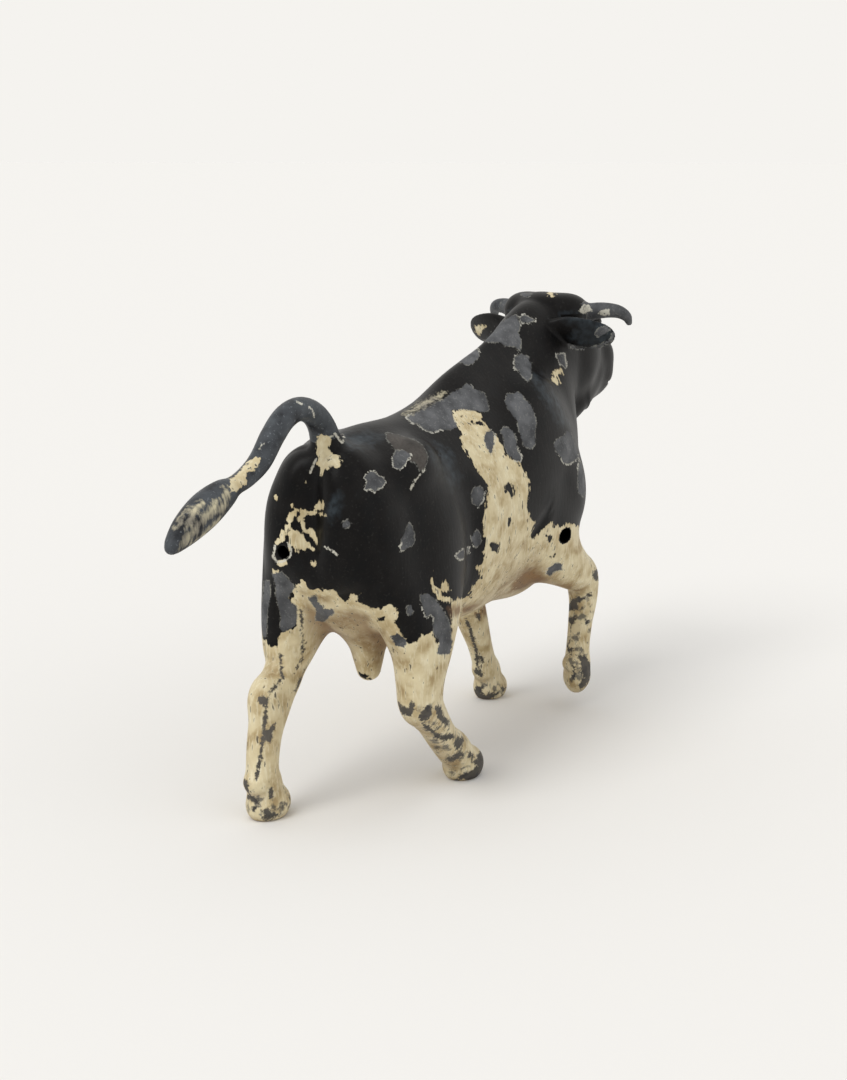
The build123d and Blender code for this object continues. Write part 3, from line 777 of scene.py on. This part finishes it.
        "right forearm": [
            (568, 605), (573, 598), (578, 596), (585, 599), (578, 603), (579, 607), (574, 611), (569, 611),
        ],
        "right knee": [(593, 570), (598, 569), (599, 581), (594, 579)],
        "under the right knee": [(586, 594), (591, 593), (592, 596), (588, 597)],
        "right fore cannon": [(568, 618), (573, 616), (577, 619), (575, 624), (570, 625)],
        "side of the right cannon": [(585, 619), (589, 621), (588, 624), (585, 624)],
        "low on the fore cannon": [(567, 647), (573, 647), (573, 651), (568, 651)],
        "right fore hoof": [
            (576, 655), (584, 656), (590, 661), (593, 669), (590, 680), (585, 687), (580, 691), (579, 684),
            (584, 678), (581, 670), (581, 663),
        ],
        "right fore heel": [(572, 666), (576, 667), (575, 673), (572, 672)],
        "right fore pad": [(571, 675), (575, 675), (574, 679), (571, 678)],
    },
    "thin": {
        "right hind cannon": [
            (419, 707), (438, 703), (447, 722), (466, 740), (456, 758), (438, 755), (424, 730),
        ],
        "right hind foot": [(448, 762), (470, 752), (486, 756), (488, 776), (470, 782), (450, 778)],
        "left hind foot": [
            (243, 780), (256, 790), (275, 800), (292, 790), (295, 806), (268, 822), (248, 815),
        ],
        "left fore foot": [(472, 684), (490, 680), (508, 686), (506, 696), (482, 701), (472, 696)],
        "right fore shank": [(568, 596), (592, 592), (594, 640), (592, 690), (568, 688), (566, 640)],
    },
    "white": {
        "root of the right horn": [(579, 311), (584, 304), (589, 305), (592, 311), (587, 312), (583, 314)],
        "right horn": [(598, 312), (604, 310), (609, 309), (610, 315), (606, 316), (598, 314)],
    },
    "worn": {
        "hip": [
            (386, 433), (398, 435), (414, 440), (423, 446), (427, 454), (427, 462), (425, 469), (420, 471),
            (416, 464), (409, 459), (403, 455), (394, 448), (388, 441),
        ],
    },
    "smear": {
        "tassel, near edge": [
            (222, 486), (227, 489), (230, 496), (226, 506), (222, 513), (216, 513), (220, 505), (225, 499),
        ],
        "tassel, middle": [
            (214, 500), (219, 498), (217, 507), (213, 515), (208, 520), (202, 526), (196, 536), (188, 544),
            (179, 549), (181, 540), (186, 535), (193, 530), (198, 522), (204, 513),
        ],
        "tassel, top": [
            (188, 514), (196, 505), (201, 499), (203, 503), (199, 511), (196, 519), (191, 526), (185, 529),
            (184, 523),
        ],
        "tassel, far edge": [(173, 528), (180, 517), (189, 505), (187, 512), (180, 524), (175, 530)],
        "tassel, under": [
            (201, 536), (210, 526), (221, 516), (218, 525), (211, 532), (203, 539), (188, 549), (190, 545),
        ],
        "over the back": [
            (404, 414), (418, 404), (438, 395), (446, 392), (442, 397), (428, 405), (412, 413),
        ],
    },
    # Painted shade, partly dirt: brown under the belly, brisket and elbow and between the thighs, on the
    # near side only
    "shadeAndDirtBelow": {
        "under the belly": [
            (449, 608), (456, 605), (470, 604), (488, 600), (496, 596), (494, 617), (452, 617),
        ],
        "brisket": [
            (506, 595), (511, 582), (520, 572), (530, 568), (541, 572), (547, 580), (536, 587), (528, 593),
        ],
        "under the elbow": [(556, 584), (570, 586), (572, 594), (560, 590)],
        "between the thighs": [(336, 634), (346, 646), (354, 660), (348, 662), (340, 650), (333, 640)],
    },
    # Painted sheen: blue-grey highlights on the black, where it would reflect the sky
    "paintedSheen": {
        "right ear": [(570, 334), (588, 323), (604, 319), (615, 326), (614, 338), (600, 347), (580, 347)],
        "over the ear": [(560, 312), (578, 312), (596, 318), (592, 326), (574, 326), (562, 320)],
        "rump": [(330, 498), (338, 492), (344, 500), (338, 516), (330, 524), (326, 512)],
        "side of the neck": [(530, 372), (540, 376), (560, 404), (572, 428), (560, 424), (544, 400)],
        "hind ribs": [(430, 440), (450, 452), (462, 478), (452, 492), (438, 470), (428, 452)],
        "croup": [(340, 436), (372, 430), (384, 436), (372, 446), (350, 448)],
    },
    "bright": {
        "star": [(360, 467), (390, 467), (390, 496), (360, 496)],
        "under the hip": [(390, 457), (403, 459), (412, 451), (416, 460), (402, 474), (390, 472)],
        "left of the crest": [(458, 356), (470, 345), (482, 346), (480, 352), (466, 352)],
        "neck": [(508, 350), (517, 350), (518, 372), (508, 374)],
        "withers, low": [(418, 422), (443, 427), (443, 438), (416, 434)],
        "withers, tip": [(402, 412), (411, 412), (414, 423), (403, 423)],
        "withers, inner": [(440, 410), (452, 412), (452, 417), (440, 415)],
        "arm": [(558, 456), (582, 452), (584, 470), (560, 470)],
        "shoulder": [(516, 448), (526, 452), (524, 464), (514, 464)],
        "band": [(490, 427), (500, 434), (498, 448), (491, 440)],
        "ring": [(452, 544), (474, 544), (470, 563), (452, 563)],
        "right thigh": [(416, 604), (434, 610), (436, 622), (420, 622)],
        "drop": [(396, 542), (404, 542), (404, 556), (396, 556)],
        "throat": [(553, 350), (568, 350), (570, 372), (553, 372)],
        "nape": [(518, 311), (540, 316), (536, 326), (518, 326)],
        "flank": [(478, 494), (488, 490), (486, 508), (478, 512)],
        "elbow": [(543, 560), (553, 558), (551, 568), (545, 576)],
    },
}
# Strokes of one width: half of it, then the points along the stroke
strokes = {
    "bare": {
        "rim of the right ear": (1.0, [(572, 347), (587, 349), (600, 346), (611, 340), (614, 333)]),
    },
    "tarnish": {
        "mould line of the left hind leg": (
            1.5, [
                (281, 655), (281, 664), (282, 677), (270, 693), (266, 704), (265, 723), (263, 740),
                (260, 760), (256, 780),
            ],
        ),
        "mould line of the left fore leg": (1.4, [(466, 618), (471, 632), (476, 648), (478, 668)]),
        "mould line inside the left thigh": (1.2, [(301, 610), (303, 640), (302, 658), (297, 668)]),
        "edge of the left shank": (1.3, [(317, 658), (306, 670), (301, 680), (296, 690)]),
    },
    "white": {
        "rim of the rump vent": (
            1.0, [(275, 546), (273, 556), (277, 562), (284, 561), (290, 556), (291, 549), (288, 543)],
        ),
        "curl at the root of the tail": (0.9, [
            (330, 437), (335, 434), (339, 439), (342, 443), (344, 437), (341, 433),
        ]),
        "scratch off the hip": (0.9, [(425, 469), (419, 476), (414, 482), (411, 489)]),
        "streak under the tail": (1.0, [(316, 459), (313, 466), (310, 473)]),
        "scuff on the bend of the tail": (0.6, [(309, 407), (313, 411), (314, 417)]),
        "scuff above the tail": (0.7, [(297, 402), (302, 404)]),
        "scuff down the tail": (0.6, [(259, 449), (264, 443)]),
        "scratch by the vent": (0.9, [(325, 547), (331, 550), (337, 555)]),
    },
}
farOff = 15.0  # pixels from an outline beyond which its distance isn't needed


def gapTo(spots, starts, ends):
    # pixels from each spot to the nearest of some straight pieces
    side = ends - starts
    x, y = spots[:, :1] - starts[:, 0], spots[:, 1:] - starts[:, 1]
    along = np.clip((x * side[:, 0] + y * side[:, 1]) / (side**2).sum(1), 0, 1)
    return np.hypot(x - along * side[:, 0], y - along * side[:, 1]).min(1)


def depthInside(spots, shape):
    # pixels inside the edge of an outline, or of a stroke given as half its width and its points
    stroke = isinstance(shape, tuple)
    corners = np.array(shape[1] if stroke else shape, float)
    near = ((spots > corners.min(0) - farOff) & (spots < corners.max(0) + farOff)).all(1)
    depth = np.full(len(spots), -farOff)
    if stroke:
        depth[near] = shape[0] - gapTo(spots[near], corners[:-1], corners[1:])
        return depth
    nextOnes = np.roll(corners, -1, axis=0)
    gap = gapTo(spots[near], corners, nextOnes)
    x, y = spots[near, :1], spots[near, 1:]
    crosses = (corners[:, 1] > y) != (nextOnes[:, 1] > y)
    run = nextOnes - corners
    meets = corners[:, 0] + (y - corners[:, 1]) * run[:, 0] / np.where(run[:, 1] == 0, tiny, run[:, 1])
    inside = (crosses & (x < meets)).sum(1) % 2 == 1
    depth[near] = np.where(inside, gap, -gap)
    return depth


sight = {
    "patch": 3,  # pixels of a square patch that has one distance to the skin
    "patches": 400,  # of them each way, more than the picture needs
    "facing": (-0.05, 0.2),  # how squarely skin faces the camera where it starts to show, and shows fully
    "slack": 2.5,  # mm behind the nearest skin of its patch that still shows
}


def patchOf(pixel):
    return tuple(np.clip((pixel / sight["patch"]).astype(int), 0, sight["patches"] - 1).T)


def nearestSkin():
    # how far off the camera sees the skin, for each patch of pixels
    pixel, depth = toPhoto(skinPoints)
    nearest = np.full((sight["patches"], sight["patches"]), np.inf)
    np.minimum.at(nearest, patchOf(pixel), depth)
    return nearest


nearest = nearestSkin()


def seenBy(points, ways):
    # pixel of each point, and how far it is seen there: 1 if it faces the camera with nothing before it
    toEye = photoAxes()[0] - points
    facing = (ways * toEye).sum(1) / np.linalg.norm(toEye, axis=1)
    pixel, depth = toPhoto(points)
    start, full = sight["facing"]
    turned = np.clip((facing - start) / (full - start), 0, 1)
    return pixel, turned * (depth < nearest[patchOf(pixel)] + sight["slack"])


# Chips on the face, the breast and the roots of the horns, mostly out of the photograph's sight: x y z and
# radius in mm
hiddenChips = {
    "forehead": (45.2, 1.6, 54.2, 1.2),
    "bridge of the nose": (49.6, -1.2, 51.0, 0.9),
    "muzzle": (52.4, 1.8, 45.0, 0.7),
    "left cheek": (42.6, 5.4, 48.0, 1.0),
    "breast": (35.6, 2.2, 34.4, 1.7),
    "side of the breast": (34.4, -3.6, 29.6, 1.1),
    "left brisket": (33.0, 4.2, 24.4, 0.9),
    "root of the left horn": (37.2, 6.3, 55.8, 1.6),
    "front of the right horn": (37.2, -6.3, 55.8, 1.6),
}
pixelsPerMm = photoView["focal"] / photoView["distance"]
allRound = ("cream", "black", "tarnish")  # layers that run on where nothing shows the skin
rightOnly = ("shadeAndDirtBelow",)  # layers that aren't mirrored
ventRim = 1.12  # radii of a vent that are left dark as painted shade, with neither cream nor chips
# Painted shade: the cream is darkened brown in folds and on undersides, by how shut in the skin is and how
# far down it faces
foldShading = {
    "reach": (0.8, 1.8, 3.6),  # mm straight out of the skin where more skin is felt for
    "gain": 1.4,  # how fast a fold fills
    "under": (0.7, 1.5),  # how much the undersides are darkened, and how steeply
    "start": 3,  # pixels inside the edge of the cream
    "full": 12,
}


def paintLayers(points, ways):
    # depth inside each layer's outlines, where the photograph or its mirror image shows a point
    mirror = np.array([1, -1, 1])
    views = seenBy(points, ways), seenBy(points * mirror, ways * mirror)
    (_, shown), (_, mirrorShown) = views
    layers = {}
    for name, drawn in outlines.items():
        shapes = [*drawn.values(), *strokes.get(name, {}).values()]
        near, far = (np.max([depthInside(at, shape) for shape in shapes], axis=0) for at, _ in views)
        rest = np.where(points[:, 1] > 0, far, near) if name in allRound else -farOff
        if name not in rightOnly:
            rest = rest + (far - rest) * mirrorShown
        layers[name] = np.clip(rest + (near - rest) * shown, -farOff, farOff)
    for *centre, radius in hiddenChips.values():
        chip = (radius - np.linalg.norm(points - centre, axis=1)) * pixelsPerMm
        layers["bare"] = np.maximum(layers["bare"], chip)
    layers["cream"] = np.minimum(layers["cream"], -layers.pop("black"))
    layers["rim"] = np.where(layers.pop("bright") < layers["bare"], -farOff, layers["bare"])
    # Painted shade: in and round each vent the near-black ground is left, with no cream and no chips
    for start, way, radius, _ in vents.values():
        off = points - start
        off -= (off @ way)[:, None] * way
        inVent = np.linalg.norm(off, axis=1) < radius * ventRim
        layers["cream"][inVent] = layers["bare"][inVent] = -farOff
    # painted shade in folds and on undersides, from how shut in the skin is: the share of the way straight
    # out that is filled, at three distances
    filled = [1 - bull.sample(points + ways * reach) / reach for reach in foldShading["reach"]]
    undersideShade, steep = foldShading["under"]
    under = undersideShade * np.clip(-ways[:, 2], 0, 1) ** steep
    shutIn = np.clip(np.mean(filled, axis=0) * foldShading["gain"] + under, 0, 1)
    onCream = (layers["cream"] - foldShading["start"]) / (foldShading["full"] - foldShading["start"])
    layers["paintedFoldShade"] = shutIn * np.clip(onCream, 0, 1)
    return layers


def linear(hexColour):
    # sRGB hex to the linear colour that shaders use
    srgb = np.array([int(hexColour[k : k + 2], 16) / 255 for k in (1, 3, 5)])
    return (*np.where(srgb <= 0.04045, srgb / 12.92, ((srgb + 0.055) / 1.055) ** 2.4), 1.0)


def addNode(tree, kind, inputs={}, out=None, **settings):
    # adds a node, sets it, links or sets its inputs, and gives back one of its outputs
    node = tree.nodes.new("ShaderNode" + kind)
    for name, value in settings.items():
        setattr(node, name, value)
    for key, value in inputs.items():
        if isinstance(value, bpy.types.NodeSocket):
            tree.links.new(value, node.inputs[key])
        else:
            node.inputs[key].default_value = value
    return node.outputs[out] if out else next((socket for socket in node.outputs if socket.enabled), None)


def newMaterial(name):
    material = bpy.data.materials.new(name)
    material.use_nodes = True
    material.node_tree.nodes.clear()
    return material, material.node_tree


# Noises that break up the paint: mm across a feature, detail, and how many times longer it is up the bull
paintNoises = {
    "mottle": (2.4, 5, 1),
    "ragged": (0.9, 4, 1),
    "fine": (0.3, 3, 1),
    "specks": (0.75, 5, 1.6),
    "streaks": (0.4, 3, 5),
}
# Coats in the order that they lie. Each follows a layer of outlines, from the depth in pixels where it
# starts to the depth where it is full, or else lies all over. Noises push its edge by some pixels, or break
# it up between two levels. It has two colours, mottled together, a share that it covers, a thickness and a
# roughness.
coats = {
    "brown of old varnish": {
        "breaks": ("mottle", 0.5, 0.7), "share": 0.4,
        "colours": ("#1c1512", "#0f1214"), "thick": 0.2, "rough": 0.4,
    },
    # Painted sheen: blue-grey highlights laid into the colour of the black
    "painted blue sheen": {
        "layer": "paintedSheen", "depth": (-4, 6), "push": {"ragged": 3}, "breaks": ("ragged", 0.1, 0.6),
        "share": 0.75, "colours": ("#3d454b", "#24292d"), "thick": 0.2, "rough": 0.35,
    },
    "edge of the top coat": {
        "layer": "worn", "depth": (-1.6, -0.8), "push": {"ragged": 1}, "breaks": ("fine", 0.4, 0.55),
        "share": 0.5, "colours": ("#9a9a92", "#77766f"), "thick": 0.3, "rough": 0.45,
    },
    "undercoat": {
        "layer": "worn", "depth": (-0.4, 0.4), "push": {"ragged": 1}, "share": 0.9,
        "colours": ("#4b4642", "#33302d"), "thick": 0.1, "rough": 0.5,
    },
    "cream": {
        "layer": "cream", "depth": (-0.4, 0.5), "push": {"ragged": 2, "streaks": 1.4}, "share": 1,
        "colours": ("#dccfab", "#c2b088"), "thick": 0.5, "rough": 0.42,
    },
    "brown in the cream": {
        "layer": "cream", "depth": (2, 8), "breaks": ("mottle", 0.5, 0.68), "share": 0.55,
        "colours": ("#ad9468", "#92774e"), "thick": 0.45, "rough": 0.5,
    },
    "brush marks": {
        "layer": "cream", "depth": (0, 2), "breaks": ("streaks", 0.5, 0.62), "share": 0.55,
        "colours": ("#ece4ca", "#ddd2b0"), "thick": 0.65, "rough": 0.4,
    },
    # Painted shade: brown in the folds and on the undersides of the cream
    "painted shade in folds and undersides": {
        "layer": "paintedFoldShade", "depth": (0.1, 1), "share": 0.8,
        "colours": ("#7f5d3c", "#694b31"), "thick": 0.45, "rough": 0.6,
    },
    # Painted shade, partly dirt: brown on the undersides
    "painted shade and dirt below": {
        "layer": "shadeAndDirtBelow", "depth": (-3, 4), "push": {"ragged": 2}, "share": 0.8,
        "colours": ("#6b4c33", "#8a6a48"), "thick": 0.45, "rough": 0.6,
    },
    "pinholes": {
        "layer": "cream", "depth": (0.5, 2), "breaks": ("specks", 0.67, 0.72), "share": 0.8,
        "colours": ("#3d372f", "#5a4d3c"), "thick": 0.1, "rough": 0.6,
    },
    "dry brush": {
        "layer": "cream", "depth": (0.5, 2), "breaks": ("streaks", 0.65, 0.69), "share": 0.85,
        "colours": ("#37322c", "#4c443a"), "thick": 0.1, "rough": 0.6,
    },
    "cream rubbed thin": {
        "layer": "thin", "depth": (-2, 4), "push": {"ragged": 2}, "breaks": ("ragged", 0.5, 0.62),
        "share": 0.85, "colours": ("#6b6862", "#4a4843"), "thick": 0.1, "rough": 0.55,
    },
    "grey edge of a chip": {
        "layer": "bare", "depth": (-1.3, -0.7), "push": {"fine": 0.9}, "breaks": ("ragged", 0.42, 0.56),
        "share": 0.65, "colours": ("#a2a198", "#7d7c76"), "thick": 0.3, "rough": 0.5,
    },
    "white edge of a chip": {
        "layer": "rim", "depth": (-1.9, -1.2), "push": {"fine": 0.9, "ragged": 0.7},
        "breaks": ("fine", 0.4, 0.55), "share": 0.8,
        "colours": ("#dcd9cb", "#aeaca2"), "thick": 0.4, "rough": 0.5,
    },
    "lead": {
        "layer": "bare", "depth": (-0.35, 0.35), "push": {"fine": 0.9}, "share": 1,
        "colours": ("#626365", "#3f4042"), "thick": 0, "rough": 0.55,
    },
    "scuffs on the lead": {
        "layer": "bare", "depth": (0.3, 1.5), "breaks": ("fine", 0.56, 0.68), "share": 0.4,
        "colours": ("#8f8f8c", "#7a7b7b"), "thick": 0, "rough": 0.5,
    },
    "tarnish": {
        "layer": "tarnish", "depth": (-0.8, 0.8), "push": {"fine": 1.3, "ragged": 1.2}, "share": 0.95,
        "colours": ("#3a3939", "#565350"), "thick": 0, "rough": 0.58,
    },
    "smears": {
        "layer": "smear", "depth": (-2, 3), "push": {"streaks": 3, "ragged": 1.5}, "share": 0.9,
        "colours": ("#d6ccab", "#8f897b"), "thick": 0.3, "rough": 0.45,
    },
    "white scratches": {
        "layer": "white", "depth": (-0.5, 0.4), "push": {"fine": 0.8}, "breaks": ("fine", 0.3, 0.45),
        "share": 0.9, "colours": ("#d9d6c8", "#b5b1a2"), "thick": 0.3, "rough": 0.5,
    },
}
# What lies under the coats, mottled from two colours, and the colour of the specks on it
grounds = {
    "painted": {
        "name": "oil enamel brushed on cast lead, chipped",
        "colours": ("#050506", "#0e0b0a"), "dust": "#2b2a28",
    },
    "bare": {
        "name": "cast lead dulled by handling",
        "colours": ("#4d5155", "#292a2d"), "dust": "#84898d",
    },
}
enamel = {
    "lean": 0.3,  # radians that the brush marks lean back
    "mottle": (0.35, 0.65),  # levels of noise from one colour of a coat to the other
    "swing": (0.3, 0.7),  # levels of noise that push an edge fully in and fully out
    "dust": (0.6, 0.72),  # levels of noise where specks start and are full
    "dustShare": 0.55,
    "thick": 0.2,  # of the ground, as of the coats
    "rough": 0.42,
    "brushMarks": 0.3,  # how high they stand on the coats
    "bump": 0.7,
    "bumpDepth": 0.1,  # mm
    "gloss": 0.13,  # specular level of oil enamel that has gone dull
}


def brushedEnamel(ground):
    # Oil enamel laid on by hand over dull grey lead: low gloss, brush marks, and chips with pale edges.
    # On the tail and horns the lead lies bare: blotched grey, with paint left in places.
    material, tree = newMaterial(ground["name"])
    place = addNode(tree, "TexCoord", out="Object")
    lean = (0, enamel["lean"], 0)
    noise = {}
    for key, (size, detail, stretch) in paintNoises.items():
        at = addNode(tree, "Mapping", {"Vector": place, "Scale": (1, 1, 1 / stretch), "Rotation": lean})
        noise[key] = addNode(tree, "TexNoise", {"Vector": at, "Scale": 1 / (size * mm), "Detail": detail})
    low, high = enamel["mottle"]
    tone = addNode(tree, "MapRange", {"Value": noise["mottle"], 1: low, 2: high})
    light, dark = (linear(shade) for shade in ground["colours"])
    colour = addNode(tree, "Mix", {0: tone, 6: light, 7: dark}, data_type="RGBA")
    low, high = enamel["dust"]
    dust = addNode(tree, "MapRange", {"Value": noise["fine"], 1: low, 2: high, 3: 0, 4: enamel["dustShare"]})
    colour = addNode(tree, "Mix", {0: dust, 6: colour, 7: linear(ground["dust"])}, data_type="RGBA")
    height, rough = enamel["thick"], enamel["rough"]
    for coat in coats.values():
        mask = coat["share"]
        if "layer" in coat:
            depth = addNode(tree, "Attribute", out="Fac", attribute_name=coat["layer"])
            low, high = enamel["swing"]
            for which, push in coat.get("push", {}).items():
                limits = {1: low, 2: high, 3: -push, 4: push}
                shift = addNode(tree, "MapRange", {"Value": noise[which], **limits}, clamp=False)
                depth = addNode(tree, "Math", {0: depth, 1: shift}, operation="ADD")
            start, full = coat["depth"]
            mask = addNode(tree, "MapRange", {"Value": depth, 1: start, 2: full, 3: 0, 4: mask})
        if "breaks" in coat:
            which, low, high = coat["breaks"]
            broken = addNode(tree, "MapRange", {"Value": noise[which], 1: low, 2: high})
            mask = addNode(tree, "Math", {0: mask, 1: broken}, operation="MULTIPLY")
        light, dark = (linear(shade) for shade in coat["colours"])
        tint = addNode(tree, "Mix", {0: tone, 6: light, 7: dark}, data_type="RGBA")
        colour = addNode(tree, "Mix", {0: mask, 6: colour, 7: tint}, data_type="RGBA")
        height = addNode(tree, "Mix", {0: mask, 2: height, 3: coat["thick"]})
        rough = addNode(tree, "Mix", {0: mask, 2: rough, 3: coat["rough"]})
    marks = {0: noise["streaks"], 1: enamel["brushMarks"], 2: height}
    brushed = addNode(tree, "Math", marks, operation="MULTIPLY_ADD")
    relief = {"Height": brushed, "Strength": enamel["bump"], "Distance": enamel["bumpDepth"] * mm}
    bump = addNode(tree, "Bump", relief)
    shine = {"Roughness": rough, "Specular IOR Level": enamel["gloss"], "Normal": bump}
    shader = addNode(tree, "BsdfPrincipled", {"Base Color": colour, **shine})
    addNode(tree, "OutputMaterial", {"Surface": shader})
    return material


finishes = {name: brushedEnamel(ground) for name, ground in grounds.items()}
shownNodes = [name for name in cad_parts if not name.endswith("solder")]
slotOf = {"tail": "bare_lead", "horn": "bare_lead", "leg": "cream_enamel"}  # the rest are black_enamel


def nodeFor(points):  # the casting whose box is nearest to the box of a piece
    corners = np.array([points.min(0), points.max(0)])
    return min(shownNodes, key=lambda name: np.abs(np.array(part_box(name)) / mm - corners).sum())


def finishPiece(piece):
    data = piece.data
    mesh = bmesh.new()
    mesh.from_mesh(data)
    caps = capAt(mesh, [joint[:2] for joint in joints.values()] + [midPlane])
    bmesh.ops.recalc_face_normals(mesh, faces=mesh.faces)
    mesh.faces.index_update()
    smooth = np.ones(len(mesh.faces), bool)
    smooth[[face.index for face in caps]] = False
    mesh.to_mesh(data)
    mesh.free()
    data.polygons.foreach_set("use_smooth", smooth)
    points = np.empty(len(data.vertices) * 3)
    data.vertices.foreach_get("co", points)
    points = points.reshape(-1, 3)
    ways = bull.slope(points)
    for layer, values in paintLayers(points, ways).items():
        data.attributes.new(layer, "FLOAT", "POINT").data.foreach_set("value", values)
    # skin is shaded by the clay's own slope, and the flat caps by their faces
    corner = np.empty(len(data.loops), int)
    data.loops.foreach_get("vertex_index", corner)
    sides = np.empty(len(data.polygons), int)
    data.polygons.foreach_get("loop_total", sides)
    flat = np.empty(len(data.polygons) * 3)
    data.polygons.foreach_get("normal", flat)
    flat = np.repeat(flat.reshape(-1, 3), sides, axis=0)
    data.vertices.foreach_set("co", (points * mm).ravel())
    data.normals_split_custom_set(np.where(np.repeat(smooth, sides)[:, None], ways[corner], flat))
    node = nodeFor(points)
    piece.name = data.name = node + "_casting"
    slot = next((slot for word, slot in slotOf.items() if word in node), "black_enamel")
    data.materials.append(finishes["bare" if slot == "bare_lead" else "painted"])
    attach(piece, "root")
    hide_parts(node)
    print("casting:", node, len(data.polygons), "faces")


for piece in pieces:
    finishPiece(piece)

beads = {"colour": "#8d9094", "rough": 0.45, "nodes": ("belly_solder", "back_solder")}
# Soft solder run into the seam from inside: dull bright metal, which the shells hide
solder, tree = newMaterial("soft solder, run and cooled")
metal = {"Base Color": linear(beads["colour"]), "Metallic": 1.0, "Roughness": beads["rough"]}
addNode(tree, "OutputMaterial", {"Surface": addNode(tree, "BsdfPrincipled", metal)})
for name in beads["nodes"]:
    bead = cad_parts[name].data
    bead.materials.clear()
    bead.materials.append(solder)

studio = {
    "floor": "#eceae6",
    "backdrop": "#f5f3ef",
    "floorSize": 60.0,  # m
    "sky": (0.22, 1.05),  # light from the horizon, and from straight above
    # Lamps so large and far off that the light is even: where each lies, degrees across, and strength
    "lamps": {
        "key": ((-0.66, 0.16, 0.72), 30, 1.25),
        "fill": ((0.1, -0.9, 0.4), 60, 0.25),
    },
}


def lightStudio():
    # Matt card, even and pale, that only the shadow marks
    material, tree = newMaterial("matt pale floor card")
    shader = addNode(tree, "BsdfDiffuse", {"Color": linear(studio["floor"])})
    addNode(tree, "OutputMaterial", {"Surface": shader})
    half = studio["floorSize"] / 2
    corners = [(-half, -half, 0), (half, -half, 0), (half, half, 0), (-half, half, 0)]
    mesh = bpy.data.meshes.new("floor")
    mesh.from_pydata(corners, [], [(0, 1, 2, 3)])
    mesh.materials.append(material)
    floor = bpy.data.objects.new("floor", mesh)
    bpy.context.scene.collection.objects.link(floor)
    floor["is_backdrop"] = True
    world = bpy.data.worlds.new("studio")
    bpy.context.scene.world = world
    world.use_nodes = True
    tree = world.node_tree
    tree.nodes.clear()
    way = addNode(tree, "TexCoord", out="Generated")
    up = addNode(tree, "SeparateXYZ", {0: way}, out="Z")
    low, high = studio["sky"]
    level = addNode(tree, "MapRange", {"Value": up, 1: 0, 2: 1, 3: low, 4: high})
    soft = addNode(tree, "Background", {"Color": (1, 1, 1, 1), "Strength": level})
    card = addNode(tree, "Background", {"Color": linear(studio["backdrop"]), "Strength": 1.0})
    seen = 0.0  # the backdrop is what the camera sees, and what shiny and clear things show
    for ray in ("Is Camera Ray", "Is Glossy Ray", "Is Transmission Ray"):
        path = addNode(tree, "LightPath", out=ray)
        seen = addNode(tree, "Math", {0: seen, 1: path}, operation="MAXIMUM")
    both = addNode(tree, "MixShader", {0: seen, 1: soft, 2: card})
    addNode(tree, "OutputWorld", {"Surface": both})
    for name, (place, width, strength) in studio["lamps"].items():
        lamp = bpy.data.lights.new(name, "SUN")
        lamp.angle = np.radians(width)
        lamp.energy = strength
        obj = bpy.data.objects.new(name, lamp)
        obj.location = place
        obj.rotation_euler = Vector(place).to_track_quat("Z", "Y").to_euler()
        bpy.context.scene.collection.objects.link(obj)


lightStudio()


def placeCamera():
    eye, ahead, right, up = photoAxes()
    data = bpy.data.cameras.new("photo view")
    data.sensor_fit = "VERTICAL"
    data.sensor_height = photoView["film"]
    data.lens = photoView["film"] * photoView["focal"] / photoView["size"][1]
    data.clip_start = photoView["nearest"] * mm
    camera = bpy.data.objects.new("photo view", data)
    axes = [(right[k], up[k], -ahead[k], eye[k] * mm) for k in range(3)]
    camera.matrix_world = Matrix([*axes, (0, 0, 0, 1)])
    bpy.context.scene.collection.objects.link(camera)
    bpy.context.scene.camera = camera


placeCamera()
bpy.context.scene.view_settings.view_transform = "Standard"
boxes = {"cad": cadBounds, "visual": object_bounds()}
{name: [[float(v) for v in corner] for corner in box] for name, box in boxes.items()}
print("studio lit, camera placed")
